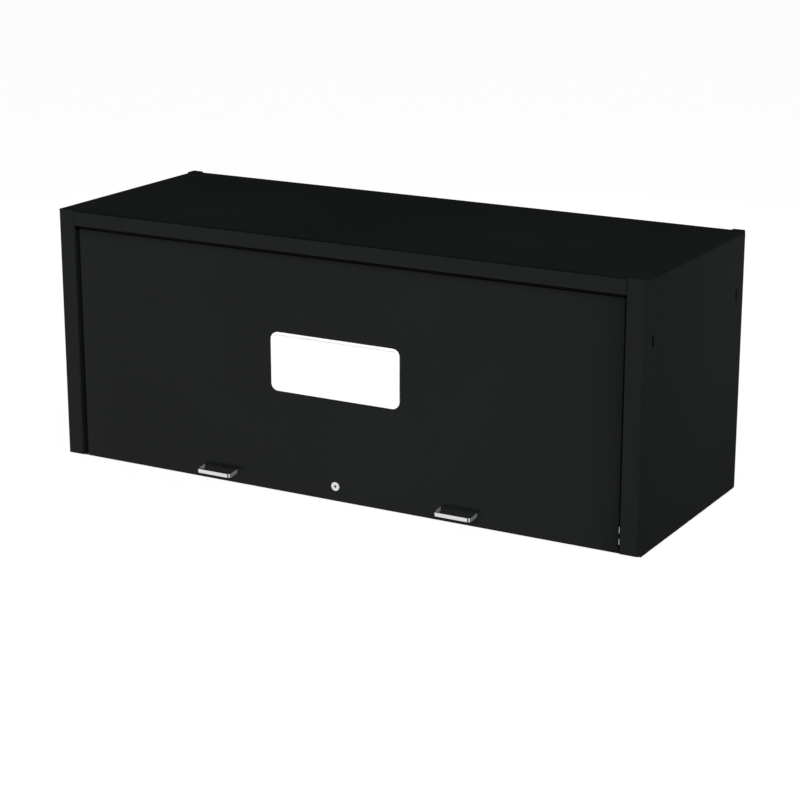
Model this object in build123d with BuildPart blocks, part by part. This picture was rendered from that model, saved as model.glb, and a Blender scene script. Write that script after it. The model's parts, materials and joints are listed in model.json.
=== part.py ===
from build123d import *
from math import atan2, cos, degrees, hypot, radians, sin
import os

# Tool chest top hutch: a wide steel cabinet that stands on a roll cab.
# One lift-up door hangs on a continuous hinge under the header. Two gas struts hold it up.
# A quarter-turn lock drives two flat rods out of the door's edges into the posts.
# Millimetres. X runs left to right, Y runs front to back, Z is up.
# The origin is the middle of the base, at the level that the side panels stand on.

# Driving dimensions: the case
case_width = 1524.0
case_depth = 566.0
case_height = 617.0
sheet = 1.5
bend_radius = 3.0
post_width = 43.5
post_return = 40.0
post_lip = 26.0
post_foot = 7.0
notch_depth = 22.0
header_height = 38.5
header_lip = 14.0
seam = 0.3
top_flange = 30.0
bottom_flange = 40.0
flange_clearance = 2.0
rear_post_size = 28.0
rear_post_wall = 2.0
cap_proud = 3.0
cap_plug = 18.0
fit = 0.1

# Driving dimensions: holes in the case
base_bolt_radius = 4.5
base_bolt_inset = 21.0
base_bolt_end_inset = 63.0
roof_hole_radius = 5.0
roof_hole_side_inset = 74.0
roof_hole_front_inset = 96.0
roof_hole_rear_inset = 134.0
slot_width = 9.0
slot_length = 28.0
slot_height = 476.0
slot_front_inset = 47.5
slot_rear_inset = 41.0

# Driving dimensions: roof channels and hinge backing bar
channel_depth = 20.0
channel_crown = 20.0
channel_flange = 16.0
channel_slope = 4.0
channel_pitch = 400.0
channel_end_gap = 12.0
backing_bar_thickness = 3.0

# Driving dimensions: the door
door_recess = 10.0
door_side_gap = 6.1
door_foot = 4.0
door_thickness = 22.0
door_skin = 1.2
door_lip = 14.0
door_edge_radius = 2.0
liner_sheet = 1.0
liner_overlap = 8.0
liner_foot = 70.0
door_channel_pitch = 350.0
door_channel_foot = 62.0

# Driving dimensions: the continuous hinge
pin_radius = 1.5
hinge_leaf = 1.2
hinge_leaf_reach = 19.5
hinge_gap = 0.3
hinge_running = 0.05
hinge_axis_depth = 1.7
hinge_neck = 0.5
hinge_end_inset = 6.0
knuckle_count = 47
rivet_count = 12
rivet_radius = 1.6
rivet_head_radius = 3.0
rivet_head = 1.0
rivet_inset = 12.0

# Driving dimensions: the handles
handle_spacing = 640.0
handle_width = 96.0
handle_reach = 32.6
handle_bar_height = 12.5
handle_strap = 4.0
handle_corner = 6.5
handle_height = 32.0
handle_droop = 6.5
handle_bevel = 1.2
handle_stud_radius = 1.9
handle_stud_root = 3.0
handle_nut_width = 8.0
handle_nut = 4.0
handle_stud_length = door_skin + handle_nut + 1.5

# Driving dimensions: the lock, its cam and its rods
lock_height = 39.5
lock_face_radius = 11.3
lock_face = 2.0
barrel_radius = 9.5
barrel_flats = 17.0
barrel_depth = 12.0
plug_radius = 6.5
keyway_length = 6.4
keyway_width = 2.4
keyway_depth = 8.0
lock_nut_width = 24.0
lock_nut = 4.0
cam_thickness = 2.5
cam_throw = 11.0
cam_square = 8.0
cam_pin_radius = 2.0
cam_pin_length = 4.7
cam_swing = 45.0
tail_screw_radius = 2.0
tail_screw_length = 8.0
tail_screw_head_radius = 4.0
tail_screw_head = 2.2
lock_running = 0.3
rod_height = 12.0
rod_thickness = 2.5
rod_offset = 4.0
rod_cam_gap = 0.5
rod_inset = 0.6
fork_slot_slack = 0.45
fork_prong = 3.8
guide_pitch = 230.0
guide_nut_gap = 4.0
guide_length = 24.0
guide_margin = 4.0

# Driving dimensions: rod guide plates on the door's edges, strike plates on the posts
guide_plate = 1.2
guide_plate_height = 40.0
guide_plate_front = 0.8
guide_opening = 12.8
guide_plate_rear = 1.0
edge_opening_inset = 2.0
edge_opening_margin = 0.6
bush_length = 10.0
bush_set_back = 0.4
strike_plate = 1.2
strike_height = 48.0
strike_depth = 17.0
strike_screw_pitch = 36.0
strike_screw_radius = 2.0
strike_screw_head_radius = 3.6
strike_screw_head = 1.6
strike_screw_length = 8.0

# Driving dimensions: door stops
stop_margin = 10.0
stop_height = 30.0
stop_sheet = 2.0
stop_level = 112.0
bumper_radius = 6.0
bumper_stem_radius = 3.0
bumper_stem_length = 3.0
bumper_barb = 1.2
bumper_barb_length = 2.6
bumper_edge = 2.0
rest_gap = 0.3

# Driving dimensions: the gas struts, as places relative to the hinge axis
strut_inset = 9.4
strut_case_depth = 50.0
strut_case_drop = 32.0
strut_door_depth = 34.0
strut_door_drop = 240.0
strut_tube_radius = 9.0
strut_tube_wall = 1.1
strut_tube_length = 160.0
strut_rod_radius = 4.0
strut_eye_radius = 8.0
strut_eye_thickness = 8.0
strut_neck_radius = 3.8
strut_socket_radius = 5.5
strut_stud_head = 2.5
strut_stud_shoulder = 1.7
gland_length = 10.0
gland_cap = 4.0
strut_neck_reach = 6.0
socket_length = 26.0
socket_grip = 12.0
piston_length = 12.0
piston_rest = 5.0
tube_floor = 3.0
eye_stud_radius = 4.0
stud_shoulder_radius = 6.0
bracket_sheet = 3.0
bracket_half_height = 20.0
bracket_half_width = 16.0
bracket_foot = 14.0
bracket_clearance = 0.5
clip_radius = 7.0
clip_thickness = 1.2
stud_end = 1.0
door_bracket_foot = 20.0
door_bracket_foot_sheet = 2.0
door_bracket_corner = 10.0
door_bracket_half_height = 24.0
door_bracket_reach = 26.0

# Driving dimensions: the blank nameplate
badge_width = 340.0
badge_height = 140.0
badge_corner = 18.0
badge_thickness = 3.0
badge_rim = 6.0
badge_field = 1.0
badge_level = 318.0

# Places that follow from the sizes above
half_width = case_width / 2
front = -case_depth / 2
rear = case_depth / 2
roof_under = case_height - sheet
post_inner = half_width - post_width
header_low = case_height - header_height
knuckle_radius = pin_radius + hinge_leaf
hinge_y = front + door_recess + hinge_axis_depth
hinge_z = header_low - hinge_gap - knuckle_radius
door_top = hinge_z - knuckle_radius - hinge_gap
door_front = front + door_recess
door_back = door_front + door_thickness
door_half = post_inner - door_side_gap
skin_back = door_front + door_skin
liner_back = door_back + liner_sheet
mid_bend = bend_radius - sheet / 2


def level(z):
    """A flat drawing plane at height z."""
    return Plane.XY.offset(z)


def facing(y):
    """An upright drawing plane at depth y, seen from the front, so that +extrude comes forward."""
    return Plane.XZ.offset(-y)


def sideways(x):
    """An upright drawing plane at x, seen from the right, with Y across and Z up."""
    return Plane.YZ.offset(x)


def box_between(low, high, mode=Mode.ADD):
    """A plain block from its lowest to its highest corner."""
    low, high = Vector(*low), Vector(*high)
    size = high - low
    with Locations((low + high) * 0.5):
        Box(size.X, size.Y, size.Z, mode=mode)


def strip(points, thickness, radius):
    """The section of a bent sheet: the mid-line through the points, given its thickness."""
    with BuildLine() as path:
        FilletPolyline(*points, radius=radius)
    trace(path.line, line_width=thickness)


def row_of(count, pitch):
    """Places on X, evenly spaced about the middle."""
    return [(i - (count - 1) / 2) * pitch for i in range(count)]


# Side panels: one folded sheet each, from the rear edge round to the post's lip
wall_mid = half_width - sheet / 2
face_mid = front + sheet / 2
return_mid = post_inner + sheet / 2
lip_mid = front + post_return - sheet / 2
flange_front = front + notch_depth + flange_clearance
base_bolt_x = half_width - base_bolt_inset
base_bolt_y = case_depth / 2 - base_bolt_end_inset
slot_places = [front + slot_front_inset, rear - slot_rear_inset]

# The strike plate's slot, shared by the post, the plate and the rod that enters it
rod_front = door_front + barrel_depth + lock_running + cam_thickness + rod_cam_gap
rod_mid_y = rod_front + rod_thickness / 2
right_rod_z = lock_height + rod_offset
left_rod_z = lock_height - rod_offset


def side_panel(rod_z):
    """The right-hand side panel, with the post's slot for a rod at the given height."""
    with BuildPart() as panel:
        with BuildSketch(Plane.XZ.offset(-rear)):
            strip(
                [
                    (half_width - top_flange, roof_under - sheet / 2),
                    (wall_mid, roof_under - sheet / 2),
                    (wall_mid, sheet / 2),
                    (half_width - bottom_flange, sheet / 2),
                ],
                sheet,
                mid_bend,
            )
        extrude(amount=case_depth - bend_radius)
        with BuildSketch(level(0)):
            strip(
                [
                    (wall_mid, front + 2 * bend_radius),
                    (wall_mid, face_mid),
                    (return_mid, face_mid),
                    (return_mid, lip_mid),
                    (post_inner + post_lip, lip_mid),
                ],
                sheet,
                mid_bend,
            )
        extrude(amount=roof_under)
        # The post and the front foot of the wall stop short of the base
        box_between((post_inner - 1, front - 1, -1), (half_width + 1, front + notch_depth, post_foot), Mode.SUBTRACT)
        box_between(
            (post_inner - 1, front - 1, -1),
            (half_width - sheet - bend_radius, front + post_return + 1, post_foot),
            Mode.SUBTRACT,
        )
        # Both flanges are cut back from the post, and the top one from the rear corner post
        box_between(
            (half_width - bottom_flange - 1, front + post_return - 1, -1),
            (half_width - sheet - bend_radius, flange_front + post_return - notch_depth, post_foot),
            Mode.SUBTRACT,
        )
        box_between(
            (half_width - top_flange - 1, rear - sheet - rear_post_size - fit, roof_under - 2 * bend_radius),
            (half_width - sheet, rear + 1, roof_under + 1),
            Mode.SUBTRACT,
        )
        box_between(
            (half_width - bottom_flange - 1, rear - sheet - fit, -1),
            (half_width - sheet, rear + 1, 2 * bend_radius),
            Mode.SUBTRACT,
        )
        with BuildSketch(level(0)):
            with Locations([(base_bolt_x, base_bolt_y), (base_bolt_x, -base_bolt_y)]):
                Circle(base_bolt_radius)
        extrude(amount=2 * sheet, mode=Mode.SUBTRACT)
        with BuildSketch(sideways(half_width - 2 * sheet)):
            with Locations([(y, slot_height) for y in slot_places]):
                SlotOverall(slot_length, slot_width, rotation=90)
        extrude(amount=3 * sheet, mode=Mode.SUBTRACT)
        with BuildSketch(sideways(post_inner - sheet)):
            with Locations([(rod_mid_y, rod_z)]):
                Rectangle(rod_thickness + 4, rod_height + 4)
            with Locations([(rod_mid_y, rod_z + s * strike_screw_pitch / 2) for s in (-1, 1)]):
                Circle(strike_screw_radius + fit)
        extrude(amount=3 * sheet, mode=Mode.SUBTRACT)
    return panel


right_side_panel = side_panel(right_rod_z)
with BuildPart() as left_side_panel:
    mirror(side_panel(left_rod_z).part, about=Plane.YZ)

# Roof panel: the top sheet, folded down over the door into a header with a return and a lip
roof_hole_spacing_x = case_width - 2 * roof_hole_side_inset
roof_hole_spacing_y = case_depth - roof_hole_front_inset - roof_hole_rear_inset
roof_hole_y = front + roof_hole_front_inset + roof_hole_spacing_y / 2
header_half = post_inner - seam

with BuildPart() as roof_panel:
    with BuildSketch(sideways(-header_half)):
        strip(
            [
                (rear - sheet, case_height - sheet / 2),
                (face_mid, case_height - sheet / 2),
                (face_mid, header_low + sheet / 2),
                (front + post_return - sheet / 2, header_low + sheet / 2),
                (front + post_return - sheet / 2, header_low + header_lip),
            ],
            sheet,
            mid_bend,
        )
    extrude(amount=2 * header_half)
    box_between((-half_width, front, roof_under), (half_width, rear, case_height))
    # The header's front bend keeps its round outer edge between the posts
    with BuildSketch(sideways(-header_half)):
        with Locations([(front, case_height)]):
            Rectangle(2 * bend_radius, 2 * bend_radius)
        with Locations([(front + bend_radius, case_height - bend_radius)]):
            Circle(bend_radius, mode=Mode.SUBTRACT)
    extrude(amount=2 * header_half, mode=Mode.SUBTRACT)
    # The rear corners are notched round the posts
    notch = rear_post_size + sheet + fit
    for side in (-1, 1):
        with Locations([(side * (half_width - notch / 2 + 1), rear - notch / 2 + 1, case_height)]):
            Box(notch + 2, notch + 2, 4 * sheet, mode=Mode.SUBTRACT)
    with BuildSketch(level(roof_under - sheet)):
        with Locations([(0, roof_hole_y)]):
            with GridLocations(roof_hole_spacing_x, roof_hole_spacing_y, 2, 2):
                Circle(roof_hole_radius)
    extrude(amount=3 * sheet, mode=Mode.SUBTRACT)

# Back panel, between the side walls, with a flange at its top and at its foot
back_half = half_width - sheet - fit
flange_half = half_width - bottom_flange - flange_clearance

with BuildPart() as back_panel:
    box_between((-back_half, rear - sheet, 0), (back_half, rear, roof_under))
    box_between((-flange_half, rear - bottom_flange, 0), (flange_half, rear, sheet))
    top_half = half_width - sheet - rear_post_size - flange_clearance
    box_between((-top_half, rear - top_flange, roof_under - sheet), (top_half, rear, roof_under))
    fillet(back_panel.edges().filter_by(Axis.X).filter_by(lambda e: e.center().Y > rear - 0.01), radius=1.0)


# Rear corner posts: square tube that stands on the side panel's bottom flange
post_x = half_width - sheet - rear_post_size / 2
post_y = rear - sheet - rear_post_size / 2
bore_size = rear_post_size - 2 * rear_post_wall

with BuildPart() as right_rear_post:
    with BuildSketch(level(sheet)):
        with Locations([(post_x, post_y)]):
            RectangleRounded(rear_post_size, rear_post_size, radius=rear_post_wall)
            Rectangle(bore_size, bore_size, mode=Mode.SUBTRACT)
    extrude(amount=roof_under - sheet)
    # The tube's foot is eased round the bend of the flange below it
    outer_foot = right_rear_post.edges().filter_by(Axis.Y).sort_by(Axis.Z).group_by(Axis.Z)[0]
    chamfer(outer_foot.sort_by(Axis.X)[-1:], length=sheet)

with BuildPart() as left_rear_post:
    mirror(right_rear_post.part, about=Plane.YZ)

# Post caps: black plugs whose heads fill the roof's corner notches and stand proud of the roof
cap_size = rear_post_size + sheet

with BuildPart() as rear_post_caps:
    for side in (-1, 1):
        with BuildSketch(level(roof_under)):
            with Locations([(side * (half_width - cap_size / 2), rear - cap_size / 2)]):
                RectangleRounded(cap_size, cap_size, radius=2.0)
        extrude(amount=sheet + cap_proud)
        with BuildSketch(level(roof_under)):
            with Locations([(side * post_x, post_y)]):
                RectangleRounded(bore_size - 2 * fit, bore_size - 2 * fit, radius=1.0)
        extrude(amount=-cap_plug)
    chamfer(rear_post_caps.faces().sort_by(Axis.Z)[-2:].edges(), length=0.8)


# Hat channels, one section for the roof and the door
def hat(base, tip, thickness):
    """The bent section of a hat channel, from its flanges' outer faces to its crown's outer face."""
    away = 1 if tip > base else -1
    flange_mid = base + away * thickness / 2
    crown_mid = tip - away * thickness / 2
    inner = channel_crown / 2
    outer = inner + channel_slope
    strip(
        [
            (-outer - channel_flange, flange_mid),
            (-outer, flange_mid),
            (-inner, crown_mid),
            (inner, crown_mid),
            (outer, flange_mid),
            (outer + channel_flange, flange_mid),
        ],
        thickness,
        1.5,
    )


channel_front = front + post_return + channel_end_gap
channel_length = rear - top_flange - channel_end_gap - channel_front


def roof_channel(x):
    """A channel that runs from front to back under the roof."""
    with BuildPart() as channel:
        with BuildSketch(Plane((x, channel_front + channel_length, 0), x_dir=(1, 0, 0), z_dir=(0, -1, 0))):
            hat(roof_under, roof_under - channel_depth, sheet)
        extrude(amount=channel_length)
    return channel


roof_channel_left = roof_channel(-channel_pitch)
roof_channel_center = roof_channel(0)
roof_channel_right = roof_channel(channel_pitch)

# Continuous hinge: two leaves whose knuckles alternate on one long pin
hinge_half = door_half - hinge_end_inset
knuckle_pitch = 2 * hinge_half / knuckle_count
leaf_start = hinge_y + knuckle_radius + hinge_neck
leaf_end = hinge_y + hinge_leaf_reach
rivet_y = hinge_y + rivet_inset
rivet_x = row_of(rivet_count, 2 * hinge_half / rivet_count)
case_leaf_low = header_low - hinge_leaf
door_leaf_high = door_top + hinge_leaf


def knuckle_spans(first):
    """The start and end of every other knuckle, from the first or the second one on."""
    for i in range(first, knuckle_count, 2):
        start = -hinge_half + i * knuckle_pitch + hinge_gap / 2
        yield start, start + knuckle_pitch - hinge_gap


def hinge_half_leaf(low, high, first, bore_radius):
    """A leaf with its knuckles: a flat strip joined to every other knuckle of the row."""
    with BuildPart() as leaf:
        box_between((-hinge_half, leaf_start, low), (hinge_half, leaf_end, high))
        for start, end in knuckle_spans(first):
            with BuildSketch(sideways(start)):
                with Locations([(hinge_y, hinge_z)]):
                    Circle(knuckle_radius)
                with Locations([((hinge_y + leaf_start) / 2, (low + high) / 2)]):
                    Rectangle(leaf_start - hinge_y, high - low)
                with Locations([(hinge_y, hinge_z)]):
                    Circle(bore_radius, mode=Mode.SUBTRACT)
            extrude(amount=end - start)
        with BuildSketch(level(low - 1)):
            with Locations([(x, rivet_y) for x in rivet_x]):
                Circle(rivet_radius + hinge_running)
        extrude(amount=hinge_leaf + 2, mode=Mode.SUBTRACT)
    return leaf


hinge_case_leaf = hinge_half_leaf(case_leaf_low, header_low, 0, pin_radius + hinge_running / 2)
hinge_door_leaf = hinge_half_leaf(door_top, door_leaf_high, 1, pin_radius + hinge_running)

with BuildPart() as hinge_pin:
    with BuildSketch(sideways(-hinge_half)):
        with Locations([(hinge_y, hinge_z)]):
            Circle(pin_radius)
    extrude(amount=2 * hinge_half)

# Backing bar inside the header, over the hinge's rivets
bar_front = front + sheet + bend_radius
bar_rear = front + post_return - sheet - bend_radius

with BuildPart() as hinge_backing_bar:
    bar_low = header_low + sheet
    box_between((-hinge_half, bar_front, bar_low), (hinge_half, bar_rear, bar_low + backing_bar_thickness))


def drill_rivets(z_low, z_high):
    """Clearance holes for the row of hinge rivets, in the piece being built."""
    with BuildSketch(level(z_low)) as holes:
        with Locations([(x, rivet_y) for x in rivet_x]):
            Circle(rivet_radius + hinge_running)
    extrude(holes.sketch, amount=z_high - z_low, mode=Mode.SUBTRACT)


with hinge_backing_bar:
    drill_rivets(bar_low - 1, bar_low + backing_bar_thickness + 1)
with roof_panel:
    drill_rivets(header_low - 1, header_low + sheet + 1)


def rivets(low, high):
    """The row of hinge rivets, with a low head at each end of the shank."""
    with BuildPart() as row:
        for z, grip, radius in (
            (low - rivet_head, rivet_head, rivet_head_radius),
            (low, high - low, rivet_radius),
            (high, rivet_head, rivet_head_radius),
        ):
            with BuildSketch(level(z)):
                with Locations([(x, rivet_y) for x in rivet_x]):
                    Circle(radius)
            extrude(amount=grip)
    return row


hinge_case_rivets = rivets(case_leaf_low, bar_low + backing_bar_thickness)
hinge_door_rivets = rivets(door_top - door_skin, door_leaf_high)

# Door panel: a pan with its flanges turned back and lips turned in
handle_half = handle_width / 2 - handle_strap / 2
handle_centres = [-handle_spacing / 2, handle_spacing / 2]
stud_places = [(x + s * handle_half, handle_height) for x in handle_centres for s in (-1, 1)]
door_middle = (door_foot + door_top) / 2
door_tall = door_top - door_foot
edge_opening_front = door_front + edge_opening_inset
edge_opening_rear = door_back - door_skin - edge_opening_margin


def double_d(radius, flats):
    """A round outline with two flats, left and right."""
    Circle(radius)
    Rectangle(flats, 2 * radius, mode=Mode.INTERSECT)


with BuildPart() as door_panel:
    with BuildSketch(facing(door_back)):
        with Locations([(0, door_middle)]):
            Rectangle(2 * door_half, door_tall)
            Rectangle(2 * (door_half - door_lip), door_tall - 2 * door_lip, mode=Mode.SUBTRACT)
    extrude(amount=door_skin)
    with BuildSketch(facing(door_back)):
        with Locations([(0, door_middle)]):
            Rectangle(2 * door_half, door_tall)
            Rectangle(2 * (door_half - door_skin), door_tall - 2 * door_skin, mode=Mode.SUBTRACT)
    extrude(amount=door_thickness)
    with BuildSketch(facing(skin_back)):
        with Locations([(0, door_middle)]):
            Rectangle(2 * door_half, door_tall)
    extrude(amount=door_skin)
    front_face = door_panel.faces().sort_by(Axis.Y)[0]
    fillet(front_face.edges(), radius=door_edge_radius - door_skin / 2)
    with BuildSketch(facing(door_back)):
        with Locations([(0, lock_height)]):
            double_d(barrel_radius + fit, barrel_flats + 2 * fit)
        with Locations(stud_places):
            Circle(handle_stud_radius + fit)
    extrude(amount=door_thickness + 1, mode=Mode.SUBTRACT)
    for side, rod_z in ((-1, left_rod_z), (1, right_rod_z)):
        edge = side * (door_half - door_skin / 2)
        box_between(
            (edge - door_skin, edge_opening_front, rod_z - guide_opening / 2),
            (edge + door_skin, edge_opening_rear, rod_z + guide_opening / 2),
            Mode.SUBTRACT,
        )
    drill_rivets(door_top - 2 * door_skin, door_top + 1)

# Door liner: the inner skin, lying on the door's lips and channels
liner_half = door_half - door_lip + liner_overlap
liner_top = door_top - door_lip + liner_overlap

with BuildPart() as door_liner:
    box_between((-liner_half, door_back, liner_foot), (liner_half, liner_back, liner_top))


def door_channel(x):
    """An upright channel between the door's skin and its liner, above the lock rods."""
    with BuildPart() as channel:
        with BuildSketch(Plane((x, 0, door_channel_foot), x_dir=(1, 0, 0), z_dir=(0, 0, 1))):
            hat(skin_back, door_back, door_skin)
        extrude(amount=door_top - door_lip - fit - door_channel_foot)
    return channel


door_channel_left = door_channel(-door_channel_pitch)
door_channel_center = door_channel(0)
door_channel_right = door_channel(door_channel_pitch)


# Handles: a bevelled flat bar bent to a U, drooping a little, with a stud on each leg
def handle(x):
    """A handle centred at x, on a plane that tips down towards the front."""
    droop = radians(handle_droop)
    plane = Plane((x, door_front, handle_height), x_dir=(1, 0, 0), z_dir=(0, -sin(droop), cos(droop)))
    with BuildPart() as bar:
        with BuildSketch(plane):
            strip(
                [
                    (-handle_half, 2 * handle_strap),
                    (-handle_half, -handle_reach + handle_strap / 2),
                    (handle_half, -handle_reach + handle_strap / 2),
                    (handle_half, 2 * handle_strap),
                ],
                handle_strap,
                handle_corner - handle_strap / 2,
            )
        extrude(amount=handle_bar_height / 2, both=True)
        broad = bar.faces().filter_by(plane)
        chamfer(broad.edges(), length=handle_bevel)
        split(bisect_by=facing(door_front), keep=Keep.TOP)
        with BuildSketch(facing(door_front + handle_stud_length)):
            with Locations([(x - handle_half, handle_height), (x + handle_half, handle_height)]):
                Circle(handle_stud_radius)
        extrude(amount=handle_stud_length + handle_stud_root)
    return bar


left_handle = handle(-handle_spacing / 2)
right_handle = handle(handle_spacing / 2)

with BuildPart() as handle_nuts:
    with BuildSketch(facing(skin_back + handle_nut)):
        with Locations(stud_places):
            RegularPolygon(handle_nut_width / 2, 6, major_radius=False)
            Circle(handle_stud_radius + 0.02, mode=Mode.SUBTRACT)
    extrude(amount=handle_nut)

# Lock barrel with its bright face, and the nut that clamps it
barrel_rear = door_front + barrel_depth

with BuildPart() as lock_barrel:
    with BuildSketch(facing(door_front)):
        with Locations([(0, lock_height)]):
            Circle(lock_face_radius)
    extrude(amount=lock_face)
    fillet(lock_barrel.faces().sort_by(Axis.Y)[0].edges(), radius=lock_face / 2)
    with BuildSketch(facing(barrel_rear)):
        with Locations([(0, lock_height)]):
            double_d(barrel_radius, barrel_flats)
    extrude(amount=barrel_depth)
    with BuildSketch(facing(barrel_rear)):
        with Locations([(0, lock_height)]):
            Circle(plug_radius + hinge_running)
    extrude(amount=barrel_depth + lock_face, mode=Mode.SUBTRACT)

with BuildPart() as lock_nut_ring:
    with BuildSketch(facing(skin_back + lock_nut)):
        with Locations([(0, lock_height)]):
            RegularPolygon(lock_nut_width / 2, 6, major_radius=False)
            Circle(barrel_radius + fit, mode=Mode.SUBTRACT)
    extrude(amount=lock_nut)

# Lock plug: the keyway in front, a square tail for the cam behind
plug_front = door_front - lock_face + lock_running
cam_front = barrel_rear + lock_running
cam_rear = cam_front + cam_thickness

with BuildPart() as lock_plug:
    with BuildSketch(facing(barrel_rear)):
        with Locations([(0, lock_height)]):
            Circle(plug_radius)
    extrude(amount=barrel_rear - plug_front)
    with BuildSketch(facing(cam_rear)):
        with Locations([(0, lock_height)]):
            Rectangle(cam_square, cam_square)
    extrude(amount=cam_rear - barrel_rear)
    with BuildSketch(facing(plug_front + keyway_depth)):
        with Locations([(0, lock_height)]):
            SlotOverall(keyway_length, keyway_width, rotation=90)
    extrude(amount=keyway_depth, mode=Mode.SUBTRACT)
    with BuildSketch(facing(cam_rear)):
        with Locations([(0, lock_height)]):
            Circle(tail_screw_radius + 0.02)
    extrude(amount=tail_screw_length, mode=Mode.SUBTRACT)

# Lock cam: a plate with two pins, a swing either side of upright from rest to locked
pin_x = cam_throw * sin(radians(cam_swing))
pin_z = cam_throw * cos(radians(cam_swing))
pin_places = [(-pin_x, lock_height + pin_z), (pin_x, lock_height - pin_z)]

with BuildPart() as lock_cam:
    with BuildSketch(facing(cam_rear)):
        with Locations(pin_places):
            Circle(cam_pin_radius + 2)
        with Locations([(0, lock_height)]):
            Circle(cam_square)
        make_hull()
        with Locations([(0, lock_height)]):
            Rectangle(cam_square + fit, cam_square + fit, mode=Mode.SUBTRACT)
    extrude(amount=cam_thickness)
    with BuildSketch(facing(cam_rear + cam_pin_length)):
        with Locations(pin_places):
            Circle(cam_pin_radius)
    extrude(amount=cam_pin_length)

with BuildPart() as lock_cam_screw:
    with BuildSketch(facing(cam_rear + tail_screw_head)):
        with Locations([(0, lock_height)]):
            Circle(tail_screw_head_radius)
    extrude(amount=tail_screw_head)
    fillet(lock_cam_screw.faces().sort_by(Axis.Y)[-1].edges(), radius=0.8)
    with BuildSketch(facing(cam_rear)):
        with Locations([(0, lock_height)]):
            Circle(tail_screw_radius)
    extrude(amount=tail_screw_length - 0.5)

# Lock rods: flat bars with a fork over a cam pin, drawn for the right-hand side
rod_travel = 2 * pin_x
rod_tip = door_half - rod_inset
fork_slot = 2 * (cam_pin_radius + fork_slot_slack)
fork_low = lock_height + pin_z - cam_pin_radius - 1.0
fork_high = lock_height + cam_throw + cam_pin_radius + 1.0 + fork_prong
bar_start = cam_square / 2 + 2.5


def lock_rod():
    """The right-hand rod: a long bar, and a fork that opens downwards over the upper pin."""
    with BuildPart() as rod:
        with BuildSketch(facing(rod_front + rod_thickness)):
            with Locations([((bar_start + rod_tip) / 2, right_rod_z)]):
                Rectangle(rod_tip - bar_start, rod_height)
            fork_left = -pin_x - fork_slot / 2 - fork_prong
            fork_right = bar_start + 2 * fork_prong
            with Locations([((fork_left + fork_right) / 2, (fork_low + fork_high) / 2)]):
                Rectangle(fork_right - fork_left, fork_high - fork_low)
            slot_high = fork_high - fork_prong
            with Locations([(-pin_x, (fork_low - 1 + slot_high) / 2)]):
                Rectangle(fork_slot, slot_high - fork_low + 1, mode=Mode.SUBTRACT)
        extrude(amount=rod_thickness)
    return rod


right_lock_rod = lock_rod()
lock_axis = Axis((0, 0, lock_height), (0, 1, 0))
with BuildPart() as left_lock_rod:
    add(lock_rod().part.rotate(lock_axis, 180))

# Nylon guides that carry the rods along the door, two on each side, clear of the handles' nuts
inner_stud_x = handle_spacing / 2 - handle_half
inner_guide = inner_stud_x - handle_nut_width / 2 - guide_nut_gap - guide_length / 2
guide_places = [inner_guide, inner_guide + guide_pitch]

with BuildPart() as rod_guides:
    for side, rod_z in ((-1, left_rod_z), (1, right_rod_z)):
        for reach in guide_places:
            x = side * reach
            low_z = rod_z - rod_height / 2
            high_z = rod_z + rod_height / 2
            box_between(
                (x - guide_length / 2, skin_back, low_z - guide_margin),
                (x + guide_length / 2, rod_front + rod_thickness + 1.5, high_z + guide_margin),
            )
            box_between(
                (x - guide_length, rod_front - fit, low_z - fit),
                (x + guide_length, rod_front + rod_thickness + fit, high_z + fit),
                Mode.SUBTRACT,
            )

# Bushes where the rods leave the door's edges
bush_outer = door_half + guide_plate - bush_set_back
bush_inner = door_half - door_skin - bush_length

with BuildPart() as rod_bushes:
    for side, rod_z in ((-1, left_rod_z), (1, right_rod_z)):
        near, far = sorted((side * bush_inner, side * bush_outer))
        reach = guide_opening / 2 - fit
        box_between(
            (near, edge_opening_front + fit, rod_z - reach), (far, edge_opening_rear - fit, rod_z + reach)
        )
        half_rod = rod_height / 2 + fit
        box_between(
            (near - 1, rod_front - fit, rod_z - half_rod),
            (far + 1, rod_front + rod_thickness + fit, rod_z + half_rod),
            Mode.SUBTRACT,
        )


def rod_guide_plate(side, rod_z):
    """The zinc plate on the door's edge: two arms above and below the bush, joined behind it."""
    near, far = sorted((side * door_half, side * (door_half + guide_plate)))
    half_tall = guide_plate_height / 2
    with BuildPart() as plate:
        box_between(
            (near, door_front + guide_plate_front, rod_z - half_tall),
            (far, door_back - guide_plate_rear, rod_z + half_tall),
        )
        box_between(
            (near - 1, door_front, rod_z - guide_opening / 2),
            (far + 1, edge_opening_rear, rod_z + guide_opening / 2),
            Mode.SUBTRACT,
        )
    return plate


left_rod_guide_plate = rod_guide_plate(-1, left_rod_z)
right_rod_guide_plate = rod_guide_plate(1, right_rod_z)


# Strike plates on the posts' returns, with two screws each
def strike(side, rod_z):
    """The plate that the rod's tip enters, on the door's side of the post's return."""
    near, far = sorted((side * (post_inner - strike_plate), side * post_inner))
    with BuildPart() as plate:
        box_between(
            (near, rod_mid_y - strike_depth / 2, rod_z - strike_height / 2),
            (far, rod_mid_y + strike_depth / 2, rod_z + strike_height / 2),
        )
        box_between(
            (near - 1, rod_mid_y - rod_thickness / 2 - 1, rod_z - rod_height / 2 - 1),
            (far + 1, rod_mid_y + rod_thickness / 2 + 1, rod_z + rod_height / 2 + 1),
            Mode.SUBTRACT,
        )
        with BuildSketch(sideways(near - 1)):
            with Locations([(rod_mid_y, rod_z + s * strike_screw_pitch / 2) for s in (-1, 1)]):
                Circle(strike_screw_radius + fit)
        extrude(amount=strike_plate + 2, mode=Mode.SUBTRACT)
    return plate


left_strike_plate = strike(-1, left_rod_z)
right_strike_plate = strike(1, right_rod_z)

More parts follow.
